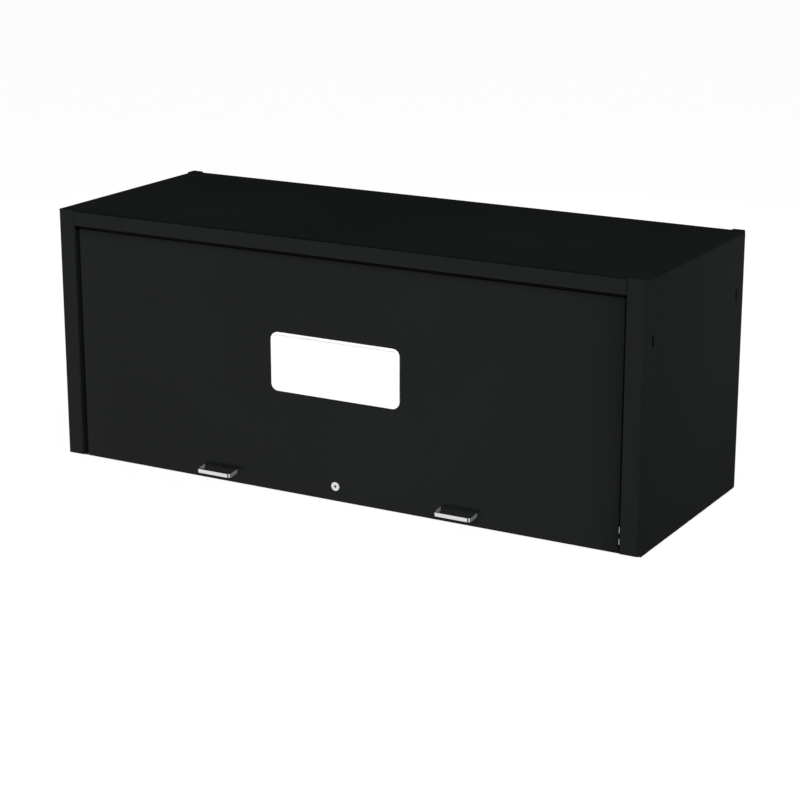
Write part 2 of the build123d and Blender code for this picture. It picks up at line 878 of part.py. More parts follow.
with BuildPart() as strike_screws:
    for side, rod_z in ((-1, left_rod_z), (1, right_rod_z)):
        seat = side * (post_inner - strike_plate)
        for z in (rod_z - strike_screw_pitch / 2, rod_z + strike_screw_pitch / 2):
            with BuildSketch(Plane((seat, rod_mid_y, z), x_dir=(0, 1, 0), z_dir=(side, 0, 0))):
                Circle(strike_screw_radius)
            extrude(amount=strike_screw_length)
            with BuildSketch(Plane((seat, rod_mid_y, z), x_dir=(0, 1, 0), z_dir=(-side, 0, 0))):
                Circle(strike_screw_head_radius)
            extrude(amount=strike_screw_head)


# Door stops on the posts' lips, and the bumpers that the closed door rests near
stop_front = front + post_return
bumper_x = liner_half - bumper_radius - bumper_edge


def door_stop(side):
    """A flat tab behind the door's edge."""
    near, far = sorted((side * (bumper_x - stop_margin), side * (post_inner + post_lip)))
    with BuildPart() as tab:
        box_between(
            (near, stop_front, stop_level - stop_height / 2),
            (far, stop_front + stop_sheet, stop_level + stop_height / 2),
        )
        with BuildSketch(facing(stop_front + stop_sheet + 1)):
            with Locations([(side * bumper_x, stop_level)]):
                Circle(bumper_stem_radius + fit)
        extrude(amount=stop_sheet + 2, mode=Mode.SUBTRACT)
    return tab


left_door_stop = door_stop(-1)
right_door_stop = door_stop(1)

with BuildPart() as door_bumpers:
    bumper_places = [(-bumper_x, stop_level), (bumper_x, stop_level)]
    with BuildSketch(facing(stop_front)):
        with Locations(bumper_places):
            Circle(bumper_radius)
    extrude(amount=stop_front - liner_back - rest_gap)
    tips = door_bumpers.faces().filter_by(Axis.Y).group_by(Axis.Y)[0]
    fillet(tips.edges(), radius=1.5)
    with BuildSketch(facing(stop_front + stop_sheet + bumper_stem_length)):
        with Locations(bumper_places):
            Circle(bumper_stem_radius)
    extrude(amount=stop_sheet + bumper_stem_length)
    with BuildSketch(facing(stop_front + stop_sheet + bumper_stem_length)):
        with Locations(bumper_places):
            Circle(bumper_stem_radius + bumper_barb)
    extrude(amount=bumper_barb_length)

# Gas struts, drawn for the right-hand side along the line between their two eyes
strut_x = door_half - strut_inset
case_eye = (hinge_y + strut_case_depth, hinge_z - strut_case_drop)
door_eye = (hinge_y + strut_door_depth, hinge_z - strut_door_drop)
strut_run = (door_eye[0] - case_eye[0], door_eye[1] - case_eye[1])
strut_length = hypot(*strut_run)
strut_dir = (0, strut_run[0] / strut_length, strut_run[1] / strut_length)
open_eye = (hinge_y - strut_door_drop, hinge_z - strut_door_depth)
open_run = (open_eye[0] - case_eye[0], open_eye[1] - case_eye[1])
strut_stroke = hypot(*open_run) - strut_length
strut_swing = degrees(atan2(strut_run[1], strut_run[0]) - atan2(open_run[1], open_run[0])) % 360
tube_bore = strut_tube_radius - strut_tube_wall


def along_strut(distance):
    """A drawing plane square to the right-hand strut, at a distance from its case-side eye."""
    y = case_eye[0] + distance * strut_dir[1]
    z = case_eye[1] + distance * strut_dir[2]
    return Plane((strut_x, y, z), x_dir=(1, 0, 0), z_dir=strut_dir)


def round_bar(start, end, radius, mode=Mode.ADD):
    """A round length of the strut, between two distances from its case-side eye."""
    with BuildSketch(along_strut(start)) as disc:
        Circle(radius)
    extrude(disc.sketch, amount=end - start, mode=mode)


def eye(place):
    """The flat round end of a strut."""
    with BuildSketch(sideways(strut_x - strut_eye_thickness / 2)) as disc:
        with Locations([place]):
            Circle(strut_eye_radius)
    extrude(disc.sketch, amount=strut_eye_thickness)


def eye_bore(place, radius):
    """The hole across a strut's end."""
    with BuildSketch(sideways(strut_x - strut_eye_thickness)) as disc:
        with Locations([place]):
            Circle(radius)
    extrude(disc.sketch, amount=2 * strut_eye_thickness, mode=Mode.SUBTRACT)


tube_start = strut_eye_radius + strut_neck_reach
with BuildPart() as right_strut_cylinder:
    eye(case_eye)
    round_bar(strut_eye_radius - 1, tube_start, strut_neck_radius)
    round_bar(tube_start, strut_tube_length, strut_tube_radius)
    fillet(right_strut_cylinder.edges().filter_by(GeomType.CIRCLE).filter_by(
        lambda e: abs(e.radius - strut_tube_radius) < 0.01).sort_by(Axis.Z)[-1:], radius=2.0)
    round_bar(tube_start + tube_floor, strut_tube_length + 1, tube_bore, Mode.SUBTRACT)
    eye_bore(case_eye, eye_stud_radius + hinge_running)

with BuildPart() as right_strut_gland:
    round_bar(strut_tube_length - gland_length, strut_tube_length, tube_bore - 0.02)
    round_bar(strut_tube_length, strut_tube_length + gland_cap, strut_tube_radius)
    round_bar(
        strut_tube_length - gland_length - 1,
        strut_tube_length + gland_cap + 1,
        strut_rod_radius + hinge_running,
        Mode.SUBTRACT,
    )

rod_start = tube_start + piston_rest
socket_start = strut_length - socket_length
rod_end = socket_start + socket_grip
with BuildPart() as right_strut_rod:
    round_bar(rod_start, rod_end, strut_rod_radius)
    round_bar(rod_start, rod_start + piston_length, tube_bore - hinge_running)

# The door-side socket carries its own stud: a head on the inner side of the eye, a shoulder on the outer
with BuildPart() as right_strut_socket:
    eye(door_eye)
    round_bar(socket_start, strut_length - strut_eye_radius + 2, strut_socket_radius)
    round_bar(socket_start - 1, rod_end, strut_rod_radius, Mode.SUBTRACT)
    head_start = strut_x - strut_eye_thickness / 2 - strut_stud_head
    with BuildSketch(sideways(head_start)):
        with Locations([door_eye]):
            Circle(stud_shoulder_radius)
    extrude(amount=strut_stud_head + strut_eye_thickness + strut_stud_shoulder)

# Case-side bracket: a hat on the side wall, with a riveted stud that carries the strut's eye
crown_inner = strut_x + strut_tube_radius + bracket_clearance
crown_mid = crown_inner + bracket_sheet / 2
foot_mid = half_width - sheet - bracket_sheet / 2

with BuildPart() as right_strut_case_bracket:
    with BuildSketch(level(case_eye[1] - bracket_half_height)):
        strip(
            [
                (foot_mid, case_eye[0] - bracket_half_width - bracket_foot),
                (foot_mid, case_eye[0] - bracket_half_width),
                (crown_mid, case_eye[0] - bracket_half_width),
                (crown_mid, case_eye[0] + bracket_half_width),
                (foot_mid, case_eye[0] + bracket_half_width),
                (foot_mid, case_eye[0] + bracket_half_width + bracket_foot),
            ],
            bracket_sheet,
            bracket_sheet,
        )
    extrude(amount=2 * bracket_half_height)
    stud_tip = strut_x - strut_eye_thickness / 2 - clip_thickness - stud_end
    with BuildSketch(sideways(stud_tip)):
        with Locations([case_eye]):
            Circle(eye_stud_radius)
    extrude(amount=crown_mid - stud_tip)
    shoulder_start = strut_x + strut_eye_thickness / 2 + rest_gap
    with BuildSketch(sideways(shoulder_start)):
        with Locations([case_eye]):
            Circle(stud_shoulder_radius)
    extrude(amount=crown_mid - shoulder_start)

with BuildPart() as strut_clips:
    for side in (-1, 1):
        clip_far = strut_x - strut_eye_thickness / 2 - rest_gap
        with BuildSketch(sideways(side * (clip_far - clip_thickness / 2) - clip_thickness / 2)):
            with Locations([case_eye]):
                Circle(clip_radius)
                Circle(eye_stud_radius + 0.02, mode=Mode.SUBTRACT)
        extrude(amount=clip_thickness)

# Door-side bracket: a foot on the liner and a plate that the strut's stud meets, 0.3 mm clear
ear_inner = strut_x + strut_eye_thickness / 2 + strut_stud_shoulder + rest_gap
ear_outer = ear_inner + bracket_sheet
ear_low = door_eye[1] - door_bracket_half_height
ear_high = door_eye[1] + door_bracket_half_height

with BuildPart() as right_strut_door_bracket:
    box_between(
        (ear_outer - door_bracket_foot, liner_back, ear_low),
        (ear_outer, liner_back + door_bracket_foot_sheet, ear_high),
    )
    box_between((ear_inner, liner_back, ear_low), (ear_outer, door_eye[0] + door_bracket_reach, ear_high))
    far_corners = right_strut_door_bracket.edges().filter_by(Axis.X).group_by(Axis.Y)[-1]
    fillet(far_corners, radius=door_bracket_corner)


def mirrored(piece):
    """The left-hand copy of a right-hand piece."""
    with BuildPart() as copy:
        mirror(piece.part, about=Plane.YZ)
    return copy


left_strut_cylinder = mirrored(right_strut_cylinder)
left_strut_gland = mirrored(right_strut_gland)
left_strut_rod = mirrored(right_strut_rod)
left_strut_socket = mirrored(right_strut_socket)
left_strut_case_bracket = mirrored(right_strut_case_bracket)
left_strut_door_bracket = mirrored(right_strut_door_bracket)

# Blank nameplate: a raised rim round a plain field
with BuildPart() as nameplate:
    with BuildSketch(facing(door_front)):
        with Locations([(0, badge_level)]):
            RectangleRounded(badge_width, badge_height, radius=badge_corner)
    extrude(amount=badge_thickness)
    with BuildSketch(facing(door_front - badge_thickness)):
        with Locations([(0, badge_level)]):
            inner_size = (badge_width - 2 * badge_rim, badge_height - 2 * badge_rim)
            RectangleRounded(*inner_size, radius=badge_corner - badge_rim)
    extrude(amount=-badge_field, mode=Mode.SUBTRACT)
    fillet(nameplate.faces().sort_by(Axis.Y)[0].outer_wire().edges(), radius=0.8)

# The motion, for the record: what the door's angle and the lock's quarter turn drive
print("hinge axis", round(hinge_y, 3), round(hinge_z, 3))
print("strut eyes", strut_x, case_eye, door_eye, "direction", strut_dir)
print("strut length", round(strut_length, 3), "stroke", round(strut_stroke, 4), "swing", round(strut_swing, 4))
print("lock rod travel", round(rod_travel, 4), "rod plane", rod_mid_y)

pieces = {
    "left_side_panel": left_side_panel,
    "right_side_panel": right_side_panel,
    "roof_panel": roof_panel,
    "back_panel": back_panel,
    "left_rear_post": left_rear_post,
    "right_rear_post": right_rear_post,
    "rear_post_caps": rear_post_caps,
    "roof_channel_left": roof_channel_left,
    "roof_channel_center": roof_channel_center,
    "roof_channel_right": roof_channel_right,
    "hinge_backing_bar": hinge_backing_bar,
    "hinge_case_leaf": hinge_case_leaf,
    "hinge_pin": hinge_pin,
    "hinge_case_rivets": hinge_case_rivets,
    "left_strike_plate": left_strike_plate,
    "right_strike_plate": right_strike_plate,
    "strike_screws": strike_screws,
    "left_door_stop": left_door_stop,
    "right_door_stop": right_door_stop,
    "door_bumpers": door_bumpers,
    "left_strut_case_bracket": left_strut_case_bracket,
    "right_strut_case_bracket": right_strut_case_bracket,
    "strut_clips": strut_clips,
    "door_panel": door_panel,
    "door_liner": door_liner,
    "door_channel_left": door_channel_left,
    "door_channel_center": door_channel_center,
    "door_channel_right": door_channel_right,
    "hinge_door_leaf": hinge_door_leaf,
    "hinge_door_rivets": hinge_door_rivets,
    "left_handle": left_handle,
    "right_handle": right_handle,
    "handle_nuts": handle_nuts,
    "lock_barrel": lock_barrel,
    "lock_nut": lock_nut_ring,
    "rod_guides": rod_guides,
    "rod_bushes": rod_bushes,
    "left_rod_guide_plate": left_rod_guide_plate,
    "right_rod_guide_plate": right_rod_guide_plate,
    "left_strut_door_bracket": left_strut_door_bracket,
    "right_strut_door_bracket": right_strut_door_bracket,
    "nameplate": nameplate,
    "lock_plug": lock_plug,
    "lock_cam": lock_cam,
    "lock_cam_screw": lock_cam_screw,
    "left_lock_rod": left_lock_rod,
    "right_lock_rod": right_lock_rod,
    "left_strut_cylinder": left_strut_cylinder,
    "right_strut_cylinder": right_strut_cylinder,
    "left_strut_gland": left_strut_gland,
    "right_strut_gland": right_strut_gland,
    "left_strut_rod": left_strut_rod,
    "right_strut_rod": right_strut_rod,
    "left_strut_socket": left_strut_socket,
    "right_strut_socket": right_strut_socket,
}

os.makedirs("parts", exist_ok=True)
for label, piece in pieces.items():
    piece.part.label = label
    export_step(piece.part, f"parts/{label}.step")
print(len(pieces), "pieces written")
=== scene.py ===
# %% [markdown]
# # A tool chest top hutch
#
# A hutch is the wide steel cabinet that stands on top of a roll cab. Its one door lifts up on a continuous
# hinge under the header, two gas struts hold it there, and a cam lock in the middle drives two flat rods
# into the posts. The construction comes in as a fixed frame. This lesson dresses it: first the helpers,
# then the finishes, then the small pieces that deserve a mesh of their own, and last the studio.

# %% Load the frame
import json
import math

import bmesh
import bpy
from mathutils import Matrix, Vector


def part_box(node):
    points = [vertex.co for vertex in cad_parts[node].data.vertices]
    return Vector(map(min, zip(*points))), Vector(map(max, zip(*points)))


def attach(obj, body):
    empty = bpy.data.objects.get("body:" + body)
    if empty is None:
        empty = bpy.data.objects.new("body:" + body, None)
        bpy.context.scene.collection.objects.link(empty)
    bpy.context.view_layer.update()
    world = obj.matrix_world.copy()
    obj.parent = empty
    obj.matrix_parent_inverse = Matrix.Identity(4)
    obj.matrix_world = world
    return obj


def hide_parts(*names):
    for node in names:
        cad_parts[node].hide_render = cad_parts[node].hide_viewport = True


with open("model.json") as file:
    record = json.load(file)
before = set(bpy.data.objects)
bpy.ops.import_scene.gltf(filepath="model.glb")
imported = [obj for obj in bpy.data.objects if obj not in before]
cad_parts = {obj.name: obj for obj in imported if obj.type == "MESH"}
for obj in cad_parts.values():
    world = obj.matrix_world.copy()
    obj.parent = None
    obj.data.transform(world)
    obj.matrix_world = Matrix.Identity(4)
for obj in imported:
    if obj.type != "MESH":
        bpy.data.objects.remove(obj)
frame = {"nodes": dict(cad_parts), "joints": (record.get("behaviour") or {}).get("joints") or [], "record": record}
nodes = frame["nodes"]
slot_of = {part["node"]: part["material_slot"] for part in frame["record"]["subparts"]}
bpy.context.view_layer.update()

# %% [markdown]
# ## Places taken from the frame
#
# A new piece has to sit on what carries it. So every place below is read off the frame's own nodes, and
# only sizes that the frame doesn't hold, such as a bevel or a thread, are written as numbers.
# Lengths are in metres, and MM turns a drawing size in millimetres into one.

# %% Places
MM = 0.001


def span(node):
    """The lowest and highest corner of a node, and its middle."""
    low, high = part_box(node)
    return low, high, (low + high) / 2


skin_low, skin_high, _ = span("door_panel")
door_front = skin_low.y
lock_low, _, lock_middle = span("lock_plug")
lock_axis = Vector((lock_middle.x, 0, lock_middle.z))
joint_of = {joint["name"]: joint for joint in frame["joints"]}
print("door front", round(door_front, 4), "lock at", round(lock_axis.x, 4), round(lock_axis.z, 4))

# %% [markdown]
# ## From a bmesh to a finished piece
#
# Every piece ends the same way: doubles are merged, the normals are made to point out, faces that meet at a
# small angle are shaded smooth, and the piece is told which body it rides on and whose finish it takes.
# Weighted normals keep a flat face flat right up to its bevel, so the bevel alone turns the light.
# One helper does all of that, so no piece can miss a step.

# %% The finishing helper
FINISHES = {}
MERGE = 0.001 * MM
SMOOTH_ANGLE = math.radians(35)


def finish_piece(name, bm, body, finish, replaces=()):
    """Makes the bmesh an object of that name, on that body, in that finish."""
    bmesh.ops.remove_doubles(bm, verts=bm.verts, dist=MERGE)
    bmesh.ops.recalc_face_normals(bm, faces=bm.faces)
    mesh = bpy.data.meshes.new(name)
    bm.to_mesh(mesh)
    bm.free()
    mesh.shade_smooth()
    mesh.set_sharp_from_angle(angle=SMOOTH_ANGLE)
    piece = bpy.data.objects.new(name, mesh)
    bpy.context.scene.collection.objects.link(piece)
    piece.modifiers.new("flat faces", "WEIGHTED_NORMAL").keep_sharp = True
    mesh.materials.append(FINISHES[finish])
    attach(piece, body)
    if replaces:
        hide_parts(*replaces)
    print(name, "faces:", len(mesh.polygons))


# %% [markdown]
# ## Small tools for shapes of revolution
#
# Screws, rivets, nuts and tubes are all turned parts: half of their outline, spun round an axis. `lathe`
# draws the outline as a chain of vertices and spins it. The outline is given as pairs of
# (distance along the axis, radius), and a pair with no radius closes the end on the axis.

# %% The lathe
def lathe(bm, outline, origin, axis, steps=32):
    """Spins an outline of (along, radius) pairs round an axis through origin."""
    axis = Vector(axis).normalized()
    side = axis.orthogonal().normalized()
    origin = Vector(origin)
    chain = [bm.verts.new(origin + axis * along + side * radius) for along, radius in outline]
    edges = [bm.edges.new(pair) for pair in zip(chain, chain[1:])]
    bmesh.ops.spin(
        bm, geom=chain + edges, cent=origin, axis=axis, angle=math.tau, steps=steps, use_merge=True
    )


def dome(base, radius, height, away=1, rings=6):
    """The outline of a round head, from its rim on the base to its crown."""
    turns = [i / rings * math.pi / 2 for i in range(rings + 1)]
    return [(base + away * height * math.sin(t), radius * math.cos(t)) for t in turns[:-1]] + [
        (base + away * height, 0)
    ]


# %% [markdown]
# ## Finishes: how a node tree is put together
#
# Each finish is a Principled shader with a little life in it. All the patterns read Object coordinates, which
# here are the same metres as the frame, so the grain has one scale on every piece and runs on from one sheet
# to the next. What is the same all over is set on the shader's own socket.

# %% Node helpers
def new_finish(name):
    """A material with an empty tree but for its shader and output, and the tree's tools."""
    material = bpy.data.materials.new(name)
    material.use_nodes = True
    tree = material.node_tree
    shader = tree.nodes["Principled BSDF"]
    FINISHES[name] = material
    return tree, shader


def add_node(tree, kind, **values):
    """Adds a node and sets its inputs by name."""
    node = tree.nodes.new(kind)
    for key, value in values.items():
        node.inputs[key.replace("_", " ")].default_value = value
    return node


def noise(tree, scale, detail=2.0, stretch=(1, 1, 1)):
    """A noise pattern on Object coordinates. A stretch above 1 packs it tighter along that axis."""
    place = tree.nodes.new("ShaderNodeTexCoord")
    mapping = tree.nodes.new("ShaderNodeMapping")
    mapping.inputs["Scale"].default_value = stretch
    pattern = add_node(tree, "ShaderNodeTexNoise", Scale=scale, Detail=detail)
    tree.links.new(place.outputs["Object"], mapping.inputs["Vector"])
    tree.links.new(mapping.outputs["Vector"], pattern.inputs["Vector"])
    return pattern.outputs["Fac"]


def spread(tree, source, low, high, start=0.3, end=0.7):
    """Maps a pattern from its useful middle range to low and high."""
    node = tree.nodes.new("ShaderNodeMapRange")
    tree.links.new(source, node.inputs["Value"])
    for key, value in (("From Min", start), ("From Max", end), ("To Min", low), ("To Max", high)):
        node.inputs[key].default_value = value
    return node.outputs["Result"]


def tint(tree, source, dark, light):
    """A colour ramp between two colours, driven by a pattern."""
    node = tree.nodes.new("ShaderNodeValToRGB")
    node.color_ramp.elements[0].color = (*dark, 1)
    node.color_ramp.elements[0].position = 0.35
    node.color_ramp.elements[1].color = (*light, 1)
    node.color_ramp.elements[1].position = 0.65
    tree.links.new(source, node.inputs["Fac"])
    return node.outputs["Color"]


def math_node(tree, operation, *values):
    """A Math node fed by sockets or numbers."""
    node = tree.nodes.new("ShaderNodeMath")
    node.operation = operation
    for slot_number, value in enumerate(values):
        if isinstance(value, (int, float)):
            node.inputs[slot_number].default_value = value
        else:
            tree.links.new(value, node.inputs[slot_number])
    return node.outputs[0]


def place_axes(tree, space="Object"):
    """The three coordinates of the shaded point, or of its normal, as sockets named X, Y and Z."""
    place = tree.nodes.new("ShaderNodeTexCoord")
    axes = tree.nodes.new("ShaderNodeSeparateXYZ")
    tree.links.new(place.outputs[space], axes.inputs["Vector"])
    return axes.outputs


def bump(tree, shader, source, height, strength=1.0, below=None):
    """Adds a bump of that height in metres, on top of an earlier one if given."""
    node = add_node(tree, "ShaderNodeBump", Strength=strength, Distance=height)
    tree.links.new(source, node.inputs["Height"])
    if below is not None:
        tree.links.new(below.outputs["Normal"], node.inputs["Normal"])
    tree.links.new(node.outputs["Normal"], shader.inputs["Normal"])
    return node


# %% [markdown]
# ## Black powder coat
#
# The sheets are coated with a fine satin black. Up close a powder coat isn't flat: it flows out into a soft
# orange peel about a millimetre across, its gloss varies a little where the gun passed, and dust lies in it
# as a finer speck. The colour is a neutral black with a hint of green. Its shine is weak but clear: the
# specular level stays low, or a bright room would turn it grey, and the roughness is low enough for the
# handles to show in the door as a soft dark mirror image.
#
# A wide door skin isn't flat up to its folds either. It falls away a little over its last centimetres, and in
# a satin coat that shows as a slow fade towards the edge. A bump that reads the distance to the skin's edges
# draws it, with no change to the sheet itself. The colour is also darkened on the folds, as a painted shade
# that draws the dark line along each fold. It shows most round the roof. The normal tells such a fold: it
# points neither straight up nor level.

# %% Powder coat
PEEL = 900
SPECK = 5200
SPECK_SHARE = 0.25
CLOUD = 2.2
GLOSS_PLAY = 0.03
# How far the painted shade on the folds darkens the colour.
FOLD_SHADE = 0.6
FOLD_STARTS = (0.10, 0.25)
FOLD_ENDS = (0.94, 0.99)
ON_SKIN = 0.5 * MM
SIDE_ROLL, SIDE_FALL = 110 * MM, 2.0 * MM
TOP_ROLL, TOP_FALL = 40 * MM, 0.7 * MM


def rolled_edges(tree, low, high):
    """The height of the door's skin, which falls towards its edges. It is zero off the skin's front."""
    axes = place_axes(tree)
    falls = []
    for axis, start, end, reach, fall in (
        ("X", low.x, high.x, SIDE_ROLL, SIDE_FALL), ("Z", low.z, high.z, TOP_ROLL, TOP_FALL)
    ):
        from_middle = math_node(tree, "SUBTRACT", axes[axis], (start + end) / 2)
        outwards = math_node(tree, "ABSOLUTE", from_middle)
        near = spread(tree, outwards, 0.0, 1.0, (end - start) / 2 - reach, (end - start) / 2)
        falls.append(math_node(tree, "MULTIPLY", math_node(tree, "POWER", near, 3.0), -fall))
    from_front = math_node(tree, "ABSOLUTE", math_node(tree, "SUBTRACT", axes["Y"], low.y))
    on_skin = math_node(tree, "LESS_THAN", from_front, ON_SKIN)
    return math_node(tree, "MULTIPLY", math_node(tree, "ADD", *falls), on_skin)


def painted_fold_shade(tree, colour):
    """The colour with a painted shade, darker where the surface turns from upright to level."""
    upwards = place_axes(tree, "Normal")["Z"]
    fold_shade_mask = math_node(
        tree, "MINIMUM", spread(tree, upwards, 0.0, 1.0, *FOLD_STARTS),
        spread(tree, upwards, 1.0, 0.0, *FOLD_ENDS),
    )
    scale = tree.nodes.new("ShaderNodeVectorMath")
    scale.operation = "SCALE"
    tree.links.new(colour, scale.inputs[0])
    tree.links.new(math_node(tree, "MULTIPLY_ADD", fold_shade_mask, -FOLD_SHADE, 1.0), scale.inputs["Scale"])
    return scale.outputs[0]


def powder_coat(name, dark, light, roughness, shine, peel_height, rolled=False):
    """A coat with clouds, orange peel and specks. Rolled adds the fall of the door skin's edges."""
    tree, shader = new_finish(name)
    cloud = noise(tree, CLOUD, detail=3)
    peel = noise(tree, PEEL, detail=1)
    speck = noise(tree, SPECK, detail=0)
    # The folds get a painted shade on top of the coat's own tone.
    colour = painted_fold_shade(tree, tint(tree, cloud, dark, light))
    tree.links.new(colour, shader.inputs["Base Color"])
    gloss = spread(tree, cloud, roughness - GLOSS_PLAY, roughness + GLOSS_PLAY)
    tree.links.new(gloss, shader.inputs["Roughness"])
    first = bump(tree, shader, speck, peel_height * SPECK_SHARE)
    second = bump(tree, shader, peel, peel_height, below=first)
    if rolled:
        bump(tree, shader, rolled_edges(tree, skin_low, skin_high), 1.0, below=second)
    shader.inputs["Specular IOR Level"].default_value = shine


powder_coat(
    "black_powder_coat", (0.0070, 0.0078, 0.0076), (0.0081, 0.0090, 0.0088), 0.16, 0.10, 0.006 * MM,
    rolled=True,
)
powder_coat("hinge_black", (0.003, 0.003, 0.003), (0.005, 0.005, 0.005), 0.45, 0.12, 0.02 * MM)
powder_coat("strut_tube_black", (0.012, 0.012, 0.013), (0.016, 0.016, 0.017), 0.28, 0.45, 0.01 * MM)

# %% [markdown]
# ## Bright metals
#
# The handles and the lock are polished and plated. A mirror finish alone looks computed, so two things break
# it: fine polishing lines, which are a noise squeezed along one axis, and faint smudges that change the
# roughness. The buffing wheel reaches the front of a handle but not the sides of its legs, so those stay
# satin grey: where a face looks sideways, part of the metal gives way to a pale coat that scatters light.
# The zinc pieces are duller and blotchy, because plating takes unevenly on stamped steel, and its crystals
# scatter much of the light. So they are only half metal, and stay grey in the dark gap where a pure mirror
# would go black.

# %% Bright metals
SMUDGE = 60
SCRATCH = 420
LOOKS_SIDEWAYS = (0.9, 0.98)


def plated(
    name, colour, roughness, lines=(1, 1, 40), line_height=0.002 * MM, blotch=0.06, metal=1.0, side_metal=1.0
):
    """A metal with smudges and polishing lines. A side_metal below 1 dulls the faces that look sideways."""
    tree, shader = new_finish(name)
    smudge = noise(tree, SMUDGE, detail=3)
    scratch = noise(tree, SCRATCH, detail=2, stretch=lines)
    dull = [channel * (1 - blotch) for channel in colour]
    tree.links.new(tint(tree, smudge, dull, colour), shader.inputs["Base Color"])
    tree.links.new(spread(tree, smudge, roughness * 0.8, roughness * 1.25), shader.inputs["Roughness"])
    bump(tree, shader, scratch, line_height)
    shader.inputs["Metallic"].default_value = metal
    if side_metal < 1:
        sideways = math_node(tree, "ABSOLUTE", place_axes(tree, "Normal")["X"])
        tree.links.new(spread(tree, sideways, 1.0, side_metal, *LOOKS_SIDEWAYS), shader.inputs["Metallic"])


plated("polished_chrome", (0.92, 0.93, 0.94), 0.08, side_metal=0.8)
plated(
    "zinc_steel", (0.58, 0.60, 0.61), 0.32, lines=(1, 1, 1), line_height=0.006 * MM, blotch=0.22, metal=0.5
)
plated("strut_rod_chrome", (0.74, 0.75, 0.77), 0.14, lines=(1, 1, 60))

# %% [markdown]
# ## Plastics, rubber and the white enamel
#
# Moulded parts carry the fine spark-eroded grain of their tool. Natural nylon lets a little light in, so it
# gets some subsurface. The nameplate is white enamel: smooth, with a white that varies by two percent.

# %% Plastics and enamel
BLUSH = 14
GRAIN_PLAY = 0.05


def moulded(name, colour, roughness, grain, grain_height, shine=0.4, depth=0.0, vary=0.1):
    """A plastic or enamel with a fine grain. A depth in metres lets light that far in."""
    tree, shader = new_finish(name)
    cloud = noise(tree, BLUSH, detail=2)
    fine = noise(tree, grain, detail=1)
    darker = [channel * (1 - vary) for channel in colour]
    tree.links.new(tint(tree, cloud, darker, colour), shader.inputs["Base Color"])
    gloss = spread(tree, fine, roughness - GRAIN_PLAY, roughness + GRAIN_PLAY)
    tree.links.new(gloss, shader.inputs["Roughness"])
    bump(tree, shader, fine, grain_height)
    shader.inputs["Specular IOR Level"].default_value = shine
    if depth:
        shader.inputs["Subsurface Weight"].default_value = 0.3
        shader.inputs["Subsurface Scale"].default_value = depth


moulded("cap_plastic", (0.0064, 0.0064, 0.0064), 0.5, 2600, 0.02 * MM, shine=0.08)
moulded("rubber_black", (0.016, 0.016, 0.016), 0.75, 1400, 0.03 * MM, shine=0.2)
moulded("strut_plastic", (0.02, 0.02, 0.021), 0.5, 2200, 0.02 * MM)
moulded("white_nylon", (0.72, 0.71, 0.66), 0.45, 1800, 0.015 * MM, depth=1.5 * MM)
moulded("black_nylon", (0.014, 0.014, 0.014), 0.5, 1800, 0.015 * MM, shine=0.25)
moulded("nameplate_white", (0.92, 0.92, 0.91), 0.38, 1100, 0.012 * MM, vary=0.02)

# %% [markdown]
# ## Dressing the frame
#
# The record names a material slot for each node, and the finishes carry the names of those slots. So one loop
# dresses the whole frame. The small pieces that follow then take the place of some of its nodes.

# %% Dress the frame's own nodes
for node_name, node in nodes.items():
    node.data.materials.clear()
    node.data.materials.append(FINISHES[slot_of[node_name]])
print("finishes:", sorted(FINISHES))

# %% [markdown]
# ## The pull handles
#
# Each handle is a flat bar, bevelled along its edges, bent to a U and drooping a little towards the front.
# A curve with a bevel object would do, but a real bar keeps its section through the bend, and that is what
# extruding and spinning one face gives: straight leg, quarter turn, bar, quarter turn, leg. The legs start
# behind the door's skin and are cut off at it by a bisecting plane, so they meet the door all round.

# %% Handle helpers
HANDLE_STRAP = 4.0 * MM
HANDLE_TALL = 12.5 * MM
HANDLE_CORNER = 8.5 * MM
HANDLE_BEVEL = 1.9 * MM
HANDLE_DROOP = math.radians(6.5)
HANDLE_LEVEL = 32.0 * MM
BEND_STEPS = 14


def rounded_section(bm, width, tall, corner):
    """One upright face with rounded corners, centred on the origin, in the XZ plane."""
    made = bmesh.ops.create_grid(bm, x_segments=1, y_segments=1, size=0.5)
    bmesh.ops.scale(bm, vec=(width, tall, 1), verts=made["verts"])
    bmesh.ops.rotate(bm, verts=made["verts"], cent=(0, 0, 0), matrix=Matrix.Rotation(math.pi / 2, 3, "X"))
    bmesh.ops.bevel(
        bm, geom=list(bm.verts), offset=corner, segments=4, profile=0.5, affect="VERTICES", material=-1
    )
    return bm.faces[:]


def grow(bm, faces, way):
    """Extrudes the end face and leaves it where it lands, with no wall left inside."""
    made = bmesh.ops.extrude_face_region(bm, geom=faces)
    bmesh.ops.delete(bm, geom=faces, context="FACES_ONLY")
    verts = [part for part in made["geom"] if isinstance(part, bmesh.types.BMVert)]
    bmesh.ops.translate(bm, vec=way, verts=verts)
    return [part for part in made["geom"] if isinstance(part, bmesh.types.BMFace)]


def turn(bm, faces, centre, angle):
    """Spins the end face round an upright axis, and takes the starting face away."""
    made = bmesh.ops.spin(
        bm, geom=faces, cent=centre, axis=(0, 0, 1), angle=angle, steps=BEND_STEPS, use_merge=False
    )
    last = [part for part in made["geom_last"] if isinstance(part, bmesh.types.BMFace)]
    bmesh.ops.delete(bm, geom=faces, context="FACES_ONLY")
    return last


